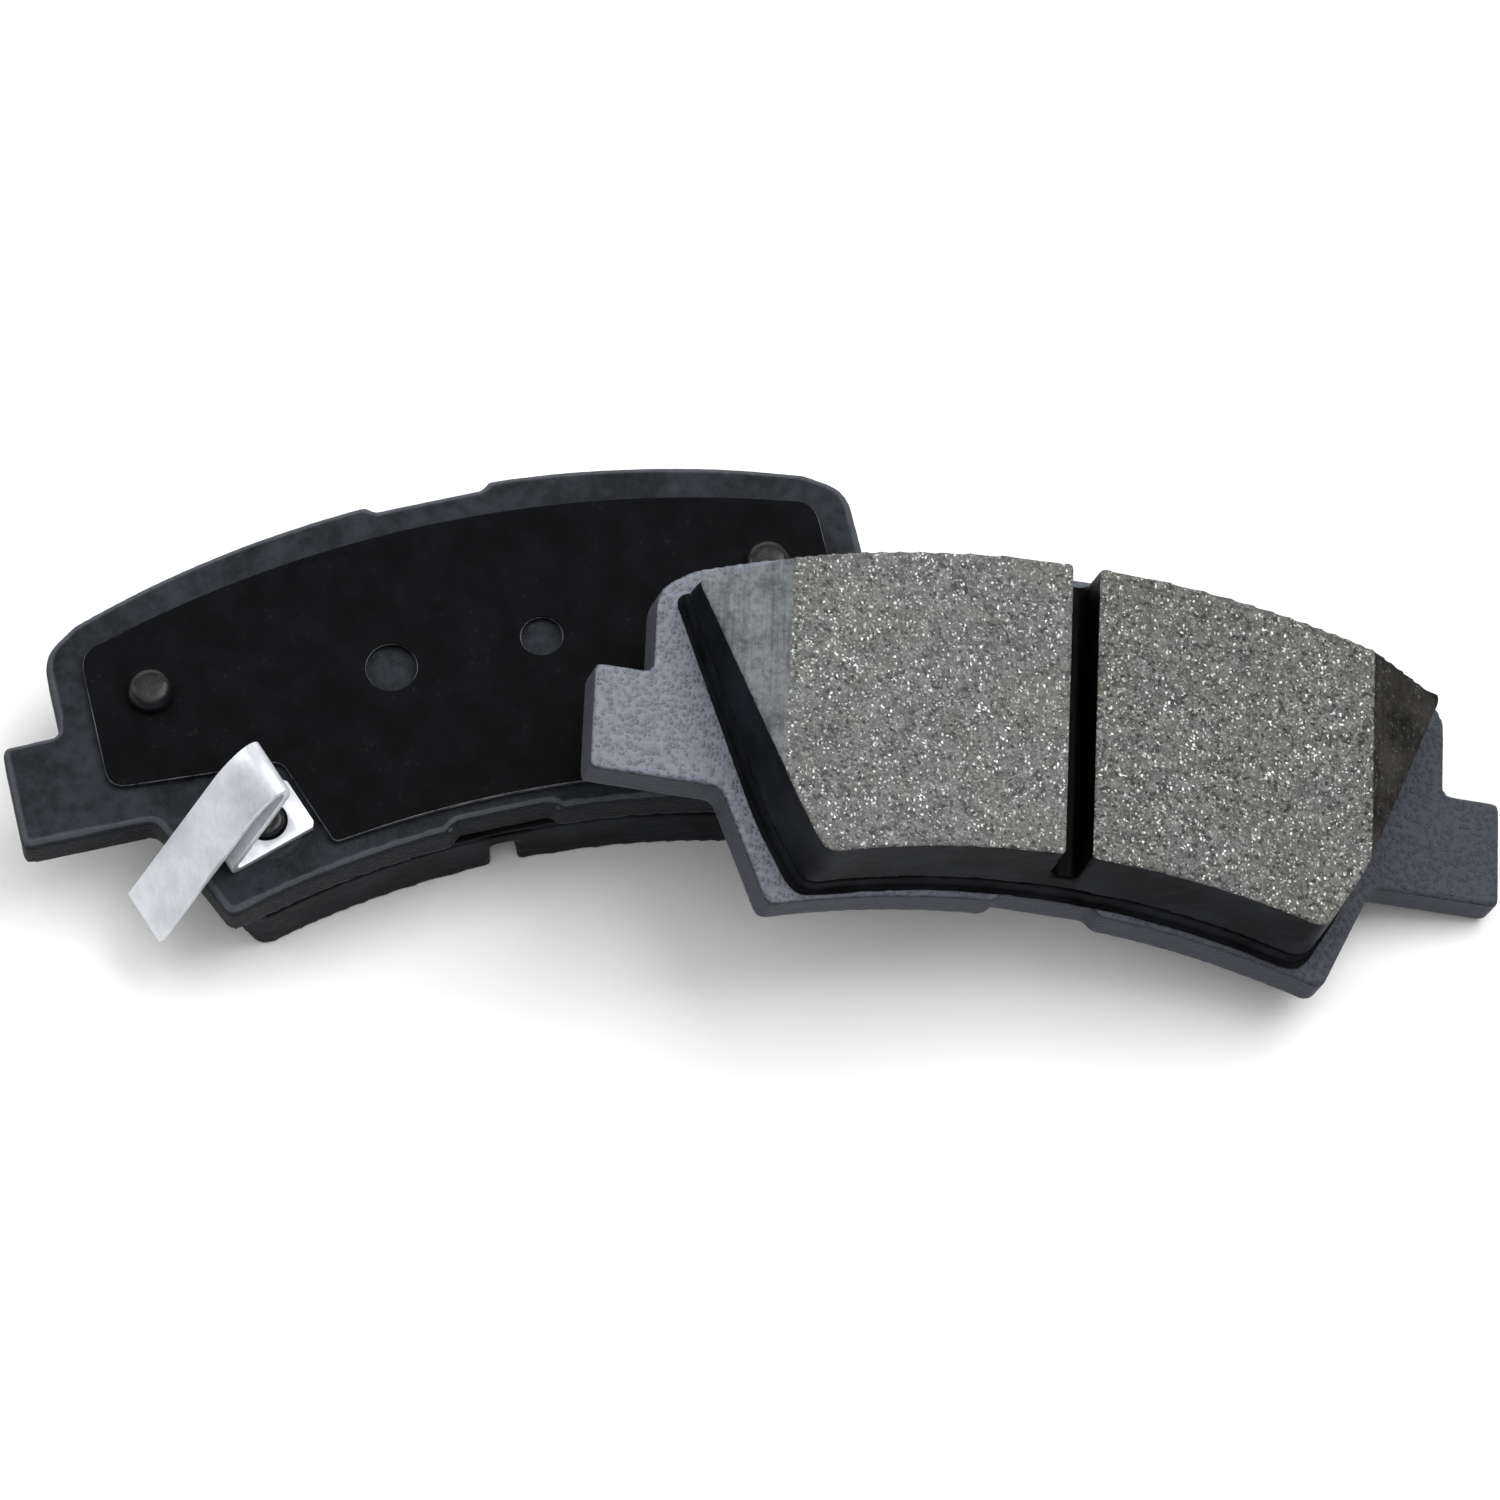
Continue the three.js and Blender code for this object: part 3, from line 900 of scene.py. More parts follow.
@dataclass(frozen=True)
class BareSteel(Finish):
    """Steel with fine marks along one direction, from a cut edge or a rolled strip."""

    base: Colour
    shade: Colour
    rough: float
    metallic: float = 1.0
    marks: Cloud = Cloud(0.35, 4, 0.65, shift=111, stretch=(1, 0.05, 1))
    bloom: Cloud = Cloud(3.2, 4, 0.6, shift=113)

    def sockets(self, graph: Graph) -> dict[str, Fed]:
        """Marks and clouds the steel.

        Args:
            graph: The material's graph.

        Returns:
            The surface shader's inputs.
        """
        marks, bloom = graph.clouds(self.marks), graph.clouds(self.bloom)
        return {
            "Base Color": graph.blend((bloom * 0.7 + marks * 0.3).ramp(0.35, 0.65), self.shade, self.base),
            "Metallic": self.metallic,
            "Roughness": self.rough + 0.12 * bloom + 0.08 * marks,
            "Normal": graph.relief((bloom, 0.05), (marks, 0.01)),
        }


@dataclass(frozen=True)
class BlackenedSteel(Finish):
    """Glossy black coat on the studs, with scuffs."""

    dark: Colour = (0.0045, 0.0048, 0.006)
    scuff: Colour = (0.009, 0.0098, 0.012)
    scuffs: Cloud = Cloud(0.9, 5, 0.7, shift=121, warp=1.2)
    fine: Cloud = Cloud(0.3, 2, 0.6, shift=127)

    def sockets(self, graph: Graph) -> dict[str, Fed]:
        """Scuffs the coat.

        Args:
            graph: The material's graph.

        Returns:
            The surface shader's inputs.
        """
        scuffs, fine = graph.clouds(self.scuffs), graph.clouds(self.fine)
        return {
            "Base Color": graph.blend(scuffs.ramp(0.5, 0.75), self.dark, self.scuff),
            "Roughness": 0.14 + 0.3 * scuffs,
            "Normal": graph.relief((scuffs, 0.05), (fine, 0.012)),
            "Specular IOR Level": 0.3,
        }


# --------------------------------------------------------------------------------------------
# Pieces
# --------------------------------------------------------------------------------------------


@dataclass
class SubAssembly:
    """A group of pieces on one pad, drawn in the pad's frame."""

    place: Placement

    def named(self, part: str) -> str:
        """Puts the pad's side before a part's name."""
        return f"{self.place.side.value}_{part}"

    def material(self, finish: Finish, name: str) -> bpy.types.Material:
        """Makes a finish's material for this pad."""
        return finish.make(self.named(name), self.place)

    def dress(
        self,
        piece: bpy.types.Object,
        material: bpy.types.Material,
        slot: str,
        node: str = "",
        smooth_angle: float = ALL_SMOOTH,
    ) -> None:
        """Moves a piece from the pad's frame to the scene and hands it to the frame.

        Args:
            piece: The piece.
            material: Its finish.
            slot: The record's material slot that the finish belongs to; not used.
            node: The frame's node that it stands for, if any, without the pad's side.
            smooth_angle: Edges sharper than this, in degrees, stay crisp.
        """
        mesh = piece.data
        mesh.transform(self.place.matrix)
        mesh.materials.clear()
        mesh.materials.append(material)
        mesh.polygons.foreach_set("material_index", [0] * len(mesh.polygons))
        mesh.shade_smooth()
        if smooth_angle < ALL_SMOOTH:
            mesh.set_sharp_from_angle(angle=math.radians(smooth_angle))
        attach(piece, self.place.body)
        if node:
            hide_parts(self.named(node))
        LOG.info("%s: %d faces, rides on %s", piece.name, len(mesh.polygons), self.place.body)


@dataclass
class BackingPlate(SubAssembly):
    """The eared steel plate: outline with shoulders, ears, and a shallow recess in each edge."""

    thickness: float = 5.0
    ear_x: float = 49.9
    ear_height: float = 11.9
    ear_round: float = 0.9
    neck_round: float = 1.0
    shoulder_x: float = 43.6
    shoulder_y: float = 21.4
    shoulder_round: float = 2.3
    crown: Arc = Arc(31.1, 116.0)
    belly: Arc = Arc(-7.9, 103.0)
    root_x: float = 35.8
    toe_x: float = 30.3
    toe_round: float = 1.2
    arc_room: float = 3.0
    recess_x: float = 5.8
    recess_depth: float = 0.8
    recess_ramp: float = 0.9
    recess_round: float = 0.4
    recess_room: float = 1.0
    blank_round: float = 1.05
    front_round: float = 0.35
    boss: Point2 = (24.5, -3.05)
    boss_radius: float = 4.2
    boss_groove: float = 0.4
    boss_depth: float = 0.28
    wave: float = 0.02
    ripple: float = 0.012
    drag: float = 0.015
    sink: float = 0.03
    voxel: float = 0.42

    def outline(self) -> list[Point2]:
        """Draws the plate's outline.

        Returns:
            Its points, counter-clockwise.
        """
        ramp_foot = self.recess_x + self.recess_ramp
        ramp_y = self.crown.height(ramp_foot)
        right = [
            Corner(self.recess_x - self.recess_ramp, self.belly.top + self.recess_depth, self.recess_round),
            Corner(self.recess_x, self.belly.height(self.recess_x), self.recess_round),
            *self.belly.run(self.recess_x + self.recess_room, self.toe_x - self.arc_room),
            Corner(self.toe_x, self.belly.height(self.toe_x), self.toe_round),
            Corner(self.root_x, 0, self.ear_round),
            Corner(self.ear_x, 0, self.ear_round),
            Corner(self.ear_x, self.ear_height, self.ear_round),
            Corner(self.shoulder_x, self.ear_height, self.neck_round),
            Corner(self.shoulder_x, self.shoulder_y, self.shoulder_round),
            *self.crown.run(self.shoulder_x - self.arc_room, ramp_foot + self.recess_room),
            Corner(ramp_foot, ramp_y, self.recess_round),
            Corner(self.recess_x, ramp_y - self.recess_depth, self.recess_round),
        ]
        return round_corners([*right, *mirror_corners(right)])

    def build(self) -> bpy.types.Object:
        """Makes the plate, softly rounded on the side that the blanking tool entered.

        Returns:
            The plate.
        """
        profile = rounded_profile(-self.thickness, 0, self.blank_round, self.front_round)
        plate = to_object(self.named("plate"), loft(plate_rings(self.outline(), profile)))
        remesh(plate, self.voxel)
        displace(plate, self._surface)
        return plate

    def _surface(self, place: Vector, normal: Vector) -> float:
        """Gives the plate's slow waves and the drag marks down its blanked edge.

        Args:
            place: A place on the plate.
            normal: The plate's normal there.

        Returns:
            How far the surface moves outwards.
        """
        wave = self.wave * fractal(place, 9.0) + self.ripple * fractal(place, 2.2)
        drag = self.drag * fractal(Vector((place.x, place.y, 0.15 * place.z)), 0.9)
        return wave + drag * (1 - abs(normal.z)) - self.sink - self._groove(place, normal)

    def _groove(self, place: Vector, normal: Vector) -> float:
        """Gives the depth of the pressed ring round the inner plate's strip stud.

        Args:
            place: A place on the plate.
            normal: The plate's normal there.

        Returns:
            The depth, which is 0 away from the ring.
        """
        if self.place.side is Side.OUTER or normal.z > -0.9:
            return 0.0
        off_ring = math.hypot(place.x - self.boss[0], place.y - self.boss[1]) - self.boss_radius
        return self.boss_depth * math.exp(-((off_ring / self.boss_groove) ** 2))

    def run(self) -> None:
        """Builds the plate and dresses it; the inner plate's edge is coloured near black as painted shade.
        """
        inner = self.place.side is Side.INNER
        # Painted shade: the inner plate's blanked edge is coloured near black.
        coat = PowderCoat(edge=(0.009, 0.010, 0.012)) if inner else PowderCoat()
        finish = self.material(coat, "powder_coat")
        self.dress(self.build(), finish, "powder_coated_plate", "backing_plate")


@dataclass
class FrictionBlock(SubAssembly):
    """The moulded block: friction material on an underlayer, with two chamfers and a slot."""

    height: float = 10.5
    underlayer_top: float = 2.21
    layer_gap: float = 0.02
    foot: float = 0.2
    shoulder_x: float = 41.4
    shoulder_y: float = 20.6
    shoulder_round: float = 1.5
    crown: Arc = Arc(27.2, 120.0)
    belly: Arc = Arc(-6.9, 96.0)
    middle_x: float = 0.5
    heel_x: float = 31.8
    heel_y: float = -3.2
    heel_round: float = 2.6
    toe_x: float = 27.4
    toe_round: float = 2.2
    toe_room: float = 3.0
    shoulder_room: float = 2.0
    draft: float = 0.55
    chamfer: float = math.radians(25)
    slot_width: float = 2.9
    slot_depth: float = 5.6
    slot_corner: float = 0.5
    cutter_reach: float = 70.0
    wedge_rise: float = 5.0
    worked_depth: float = 0.25
    lip_profile: tuple[Point2, ...] = ((0.0, 0.0), (-0.30, 0.03), (-0.34, 0.14), (-0.12, 0.34), (0.25, 0.48))
    lip_foot: float = 0.02
    lip_spread: float = 0.05
    bed_margin: float = 1.0
    bed_depth: Point2 = (0.2, 0.03)
    voxel: float = 0.36
    flakes: int = 1500
    seed: int = 7

    def outline(self, margin: float = 0.0) -> list[Point2]:
        """Draws the block's outline.

        Args:
            margin: How far to move it inwards.

        Returns:
            Its points, counter-clockwise.
        """
        right = [
            Corner(self.middle_x, self.belly.top),
            *self.belly.run(self.middle_x, self.toe_x - self.toe_room),
            Corner(self.toe_x, self.belly.height(self.toe_x), self.toe_round),
            Corner(self.heel_x, self.heel_y, self.heel_round),
            Corner(self.shoulder_x, self.shoulder_y, self.shoulder_round),
            *self.crown.run(self.shoulder_x - self.shoulder_room, self.middle_x),
        ]
        return inset_outline(round_corners([*right, *mirror_corners(right)]), margin)

    def _slab(self, part: str, low: float, high: float) -> bpy.types.Object:
        """Makes a slice of the drafted block.

        Args:
            part: The slice's name.
            low: Height of its lower face.
            high: Height of its upper face.

        Returns:
            The slice.
        """
        slope = self.draft / self.height
        profile = [(low * slope, low), (high * slope, high)]
        return to_object(self.named(part), loft(plate_rings(self.outline(), profile)))

    def _work(self, block: bpy.types.Object) -> None:
        """Cuts the slot and the two chamfers.

        Args:
            block: The friction material.
        """
        half, corner = self.slot_width / 2, self.slot_corner
        top, floor = self.height, self.height - self.slot_depth
        right = [(half - corner, floor), (half, floor + corner), (half, top + OVERSHOOT)]
        left = [(-x, z) for x, z in reversed(right)]
        cut(block, "slot", bar([*left, *right], self.cutter_reach))
        heel, end = self.heel_x, self.heel_x + self.cutter_reach
        low = top - self.cutter_reach * math.tan(self.chamfer)
        high = top + self.wedge_rise
        for sign in (1, -1):
            wedge = [(sign * heel, top), (sign * end, low), (sign * end, high), (sign * heel, high)]
            cut(block, "chamfer", bar(wedge, self.cutter_reach))

    def build(self) -> bpy.types.Object:
        """Makes the friction material with its worked faces and grainy surface.

        Returns:
            The friction material.
        """
        block = self._slab("friction", self.underlayer_top + self.layer_gap, self.height)
        self._work(block)
        remesh(block, self.voxel)
        displace(block, self._surface)
        return block

    def _is_worked(self, place: Vector) -> bool:
        """Tells whether a place is on the ground face or a chamfer."""
        past = max(0.0, abs(place.x) - self.heel_x)
        return self.height - past * math.tan(self.chamfer) - place.z < self.worked_depth

    def _surface(self, place: Vector, normal: Vector) -> float:
        """Gives the torn grain of the worked top and the gentle waves of the moulded sides.

        Args:
            place: A place on the block.
            normal: The block's normal there.

        Returns:
            How far the surface moves outwards.
        """
        if not self._is_worked(place):
            return 0.035 * fractal(place, 4.0) + 0.01 * fractal(place, 1.0) - 0.055
        torn = -0.05 * max(0.0, fractal(place, 0.9) - 0.15) - 0.015 * abs(fractal(place, 0.5, 2))
        on_edge = abs(normal.z) < 0.88 and abs(normal.x) < 0.9
        chipped = -0.05 * max(0.0, fractal(place, 1.1)) if on_edge else 0.0
        return torn + chipped - 0.015

    def build_underlayer(self) -> bpy.types.Object:
        """Makes the underlayer, which carries the friction material on.

        Returns:
            The underlayer.
        """
        layer = self._slab("underlayer_band", self.foot, self.underlayer_top)
        remesh(layer, self.voxel)
        displace(layer, self._surface)
        return layer

    def build_lip(self) -> bpy.types.Object:
        """Makes the thin uneven lip of resin that the mould squeezed out round the block.

        Returns:
            The lip.
        """
        outline = self.outline(-self.lip_spread)
        rings = []
        for inset, rise in self.lip_profile:
            ring = []
            for x, y in inset_outline(outline, inset):
                swell = max(0.35, 1 + 0.55 * fractal(Vector((x, y, 3.1)), 3.0))
                ring.append(Vector((x, y, self.lip_foot + rise * swell)))
            rings.append(ring)
        lip = to_object(self.named("resin_lip"), loft(rings))
        for vert in lip.data.vertices:
            drift = 0.1 * fractal(Vector((vert.co.x, vert.co.y, 9.0)), 2.2)
            vert.co.x += drift * math.copysign(0.4, vert.co.x)
            vert.co.y += drift
        return lip

    def build_chips(self, steel: bpy.types.Material) -> bpy.types.Object:
        """Scatters bare steel chips over the worked face with Geometry Nodes.

        Args:
            steel: The chips' finish.

        Returns:
            All the chips as one piece.
        """
        profile = [(0, self.height - depth) for depth in self.bed_depth]
        bed = to_object(self.named("steel_chips"), loft(plate_rings(self.outline(self.bed_margin), profile)))
        chip = self._chip()
        scatter = ChipScatter().attach(bed, chip, self, steel)
        bake_modifiers(bed)
        bpy.data.objects.remove(chip)
        bpy.data.node_groups.remove(scatter)
        return bed

    @staticmethod
    def _chip() -> bpy.types.Object:
        """Makes one small, flat, angular chip.

        Returns:
            The chip, about a millimetre long.
        """
        body = bmesh.new()
        bmesh.ops.create_icosphere(body, subdivisions=1, radius=0.5)
        for index, vert in enumerate(body.verts):
            stretch = 1 + 0.35 * math.sin(2.4 * index)
            vert.co = Vector((vert.co.x * stretch, vert.co.y * 0.55, vert.co.z * 0.22))
        return to_object("chip_shape", body)

    def run(self) -> None:
        """Builds the block's pieces and dresses them."""
        compound = FrictionCompound(self.heel_x, self.height, self.chamfer, self.slot_width / 2)
        squeezed = MouldedResin((0.002, 0.002, 0.0025), (0.007, 0.0075, 0.009), 0.5)
        steel = BareSteel((0.80, 0.81, 0.80), (0.5, 0.5, 0.49), 0.25)
        finish = self.material(compound, "friction_compound")
        self.dress(self.build(), finish, "friction_compound", "friction_block")
        finish = self.material(MouldedResin(), "moulded")
        self.dress(self.build_underlayer(), finish, "underlayer", "underlayer")
        finish = self.material(squeezed, "resin")
        self.dress(self.build_lip(), finish, "bonding_resin", "bond_layer", 60)
        finish = self.material(steel, "chip_steel")
        self.dress(self.build_chips(finish), finish, "friction_compound")


@dataclass(frozen=True)
class ChipScatter:
    """A Geometry Nodes tree that scatters a shape over the top of a thin bed."""

    name: str = "chip_scatter"
    smallest: float = 0.10
    largest: float = 0.36
    heel_clearance: float = 0.6
    slot_clearance: float = 0.4
    upward: float = 0.5
    tilt: float = 0.12

    def attach(
        self,
        bed: bpy.types.Object,
        chip: bpy.types.Object,
        block: FrictionBlock,
        steel: bpy.types.Material,
    ) -> bpy.types.NodeTree:
        """Builds the tree and puts it on the bed.

        Args:
            bed: The thin body whose upper face the chips lie on.
            chip: The shape to scatter.
            block: Gives the number of chips, the seed and the slot to keep clear of.
            steel: The chips' finish.

        Returns:
            The tree, to be removed after baking.
        """
        area = 2 * block.heel_x * (block.crown.top - block.belly.top)
        inputs = {
            "Bed": ("Geometry", None),
            "Chip": ("Object", chip),
            "Density": ("Float", block.flakes / area),
            "Smallest": ("Float", self.smallest),
            "Largest": ("Float", self.largest),
            "Half Width": ("Float", block.heel_x - self.heel_clearance),
            "Slot": ("Float", block.slot_width / 2 + self.slot_clearance),
            "Seed": ("Int", block.seed),
            "Finish": ("Material", steel),
        }
        tree = bpy.data.node_groups.new(self.name, "GeometryNodeTree")
        keys = {}
        for name, (kind, _) in inputs.items():
            socket = tree.interface.new_socket(name, in_out="INPUT", socket_type=f"NodeSocket{kind}")
            keys[name] = socket.identifier
        tree.interface.new_socket("Chips", in_out="OUTPUT", socket_type="NodeSocketGeometry")
        self._wire(tree)
        modifier = bed.modifiers.new(self.name, "NODES")
        modifier.node_group = tree
        for name, (_, value) in inputs.items():
            if value is not None:
                modifier[keys[name]] = value
        return tree

    def _wire(self, tree: bpy.types.NodeTree) -> None:
        """Adds the tree's nodes and links.

        Args:
            tree: The tree, with its named inputs.
        """

        def add(kind: str, values: dict | None = None, **settings: str) -> bpy.types.Node:
            """Adds one node to the tree."""
            return add_node(tree, kind, settings, values)

        def compare(first: object, second: object, operation: str) -> bpy.types.Node:
            """Compares two numbers."""
            return add("FunctionNodeCompare", {0: first, 1: second}, data_type="FLOAT", operation=operation)

        given = add("NodeGroupInput").outputs
        up = add("ShaderNodeSeparateXYZ", {0: add("GeometryNodeInputNormal")}).outputs[2]
        spread = add(
            "GeometryNodeDistributePointsOnFaces",
            {
                "Mesh": given["Bed"],
                "Selection": compare(up, self.upward, "GREATER_THAN"),
                "Density": given["Density"],
                "Seed": given["Seed"],
            },
            distribute_method="RANDOM",
        )
        across = add("ShaderNodeSeparateXYZ", {0: add("GeometryNodeInputPosition")})
        off_centre = add("ShaderNodeMath", {0: across}, operation="ABSOLUTE")
        outside = {
            0: compare(off_centre, given["Half Width"], "GREATER_THAN"),
            1: compare(off_centre, given["Slot"], "LESS_THAN"),
        }
        dropped = add("FunctionNodeBooleanMath", outside, operation="OR")
        kept = add("GeometryNodeDeleteGeometry", {"Geometry": spread, "Selection": dropped}, domain="POINT")
        shape = add("GeometryNodeObjectInfo", {"Object": given["Chip"]}, transform_space="ORIGINAL")
        turns = {
            "Min": (-self.tilt, -self.tilt, 0.0),
            "Max": (self.tilt, self.tilt, 2 * math.pi),
            "Seed": given["Seed"],
        }
        sizes = {2: given["Smallest"], 3: given["Largest"], "Seed": given["Seed"]}
        copies = {
            "Points": kept,
            "Instance": shape.outputs["Geometry"],
            "Rotation": add("FunctionNodeRandomValue", turns, data_type="FLOAT_VECTOR"),
            "Scale": add("FunctionNodeRandomValue", sizes, data_type="FLOAT").outputs[1],
        }
        solid = add("GeometryNodeRealizeInstances", {0: add("GeometryNodeInstanceOnPoints", copies)})
        coat = add("GeometryNodeSetMaterial", {"Geometry": solid, "Material": given["Finish"]})
        add("NodeGroupOutput", {0: coat})


@dataclass
class NoiseShim(SubAssembly):
    """The shim: a steel core between two rubber skins, and the two studs that hold it."""

    plate_back: float = -5.0
    gap: float = 0.03
    skin: float = 0.2
    core: float = 0.6
    half_span: float = 39.8
    top_corner: float = 20.2
    low_corner: float = 4.2
    crown: Arc = Arc(26.6, 122.0)
    crown_room: float = 2.6
    belly: Arc = Arc(-5.7, 111.0)
    belly_start: float = -26.5
    belly_room: float = 2.0
    rim: float = 0.06
    skin_setback: float = 0.09
    stud_x: float = 33.3
    stud_y: float = 13.8
    stud_clearance: float = 0.15
    shank: float = 1.6
    head: float = 2.45
    head_height: float = 2.0
    pole: float = 0.05
    dent: float = 0.03
    steel: BareSteel = BareSteel((0.17, 0.175, 0.18), (0.03, 0.03, 0.034), 0.42)
    holes: tuple[Triple, ...] = ((8.0, 11.2, 2.7), (-8.2, 11.2, 2.2))
    has_wear_indicator: bool = field(init=False)

    def __post_init__(self) -> None:
        """Notes whether the shim is cut back round a wear indicator."""
        self.has_wear_indicator = self.place.side is Side.INNER

    def outline(self) -> list[Point2]:
        """Draws the shim's outline.

        Returns:
            Its points, counter-clockwise.
        """
        foot = [Corner(28.4, -9.3, 1.5), Corner(34.4, 3.8, 1.6)]
        cut_back = [Corner(18.0, -7.1, 0.7), Corner(21.6, 3.3, 1.3), Corner(27.0, 3.4, 1.0)]
        end = [Corner(self.half_span, self.low_corner, 2.1), Corner(self.half_span, self.top_corner, 2.4)]
        right = [*(cut_back if self.has_wear_indicator else foot), *end]
        edge = self.half_span - self.crown_room
        return round_corners([
            *right,
            *self.crown.run(edge + 0.5, -edge),
            *mirror_corners([*foot, *end]),
            *self.belly.run(self.belly_start, right[0].x - self.belly_room),
        ])

    def _layer(self, part: str, back: float, front: float, setback: float) -> bpy.types.Object:
        """Makes one layer of the shim, with its holes.

        Args:
            part: The layer's name.
            back: Height of its back.
            front: Height of its front.
            setback: How far its edges stand back from the core's.

        Returns:
            The layer.
        """
        rim = min(self.rim, (front - back) / 3)
        rings = plate_rings(inset_outline(self.outline(), setback), rounded_profile(back, front, rim, rim))
        piece = to_object(self.named(part), loft(rings))
        clear = self.shank + self.stud_clearance
        stud_holes = ((self.stud_x, self.stud_y, clear), (-self.stud_x, self.stud_y, clear))
        for x, y, radius in (*self.holes, *stud_holes):
            drill(piece, (x, y), radius + setback, back - OVERSHOOT, front + OVERSHOOT)
        clean(piece)
        return piece

    def _stud_profile(self, top: float) -> list[Point2]:
        """Draws half of a stud's section, domed over the inner pad's shim and flush in the outer's.

        Args:
            top: Height of the shim's outer face over the plate.

        Returns:
            Pairs of radius and height.
        """
        shank = [(self.pole, 0.0), (self.shank, 0.0)]
        if self.has_wear_indicator:
            seat = top + 0.02
            dome = [(0.99, 0.0), (1.0, 0.04), (1.0, 0.42), (0.985, 0.52), (0.93, 0.66), (0.84, 0.8),
                    (0.80, 0.86), (0.70, 0.94), (0.56, 0.985), (0.40, 1.0), (0.2, 1.0), (0.02, 1.0)]
            head = [(self.head * r, seat + self.head_height * z) for r, z in dome]
            return [*shank, (self.shank, seat), *head]
        flat = top - 0.1
        return [*shank, (self.shank, flat - 0.12), (self.shank - 0.1, flat - 0.02), (self.shank - 0.3, flat),
                (0.6, flat - 0.02), (0.3, flat - 0.08), (self.pole, flat - 0.09)]

    def _stud(self, part: str, x: float) -> bpy.types.Object:
        """Makes one stud.

        Args:
            part: The stud's name.
            x: Where it stands along the pad.

        Returns:
            The stud.
        """
        top = 2 * self.skin + self.core + 3 * self.gap
        stud = to_object(self.named(part), revolve(self._stud_profile(top)))
        base = self.plate_back - self.gap
        stud.data.transform(Matrix.Translation((x, self.stud_y, base)) @ Matrix.Rotation(math.pi, 4, "X"))
        for vert in stud.data.vertices:
            if vert.co.z < base - top - 0.5:
                vert.co.z += self.dent * fractal(vert.co, 1.6)
        return stud

    def run(self) -> None:
        """Builds the shim's layers and studs and dresses them."""
        rubber = self.material(ShimRubber(), "shim_rubber")
        steel = self.material(self.steel, "shim_steel")
        black = self.material(BlackenedSteel(), "stud_black")
        front = self.plate_back - self.gap
        layers = (
            ("shim_inner_skin", self.skin, self.skin_setback, rubber, "shim_rubber"),
            ("shim_core", self.core, 0.0, steel, "shim_steel"),
            ("shim_outer_skin", self.skin, self.skin_setback, rubber, "shim_rubber"),
        )
        for node, thickness, setback, finish, slot in layers:
            back = front - thickness
            self.dress(self._layer(f"{node}_sheet", back, front, setback), finish, slot, node, 35)
            front = back - self.gap
        for end, x in (("left", self.stud_x), ("right", -self.stud_x)):
            self.dress(self._stud(f"stud_{end}", x), black, "coated_stud", f"shim_stud_{end}", 50)


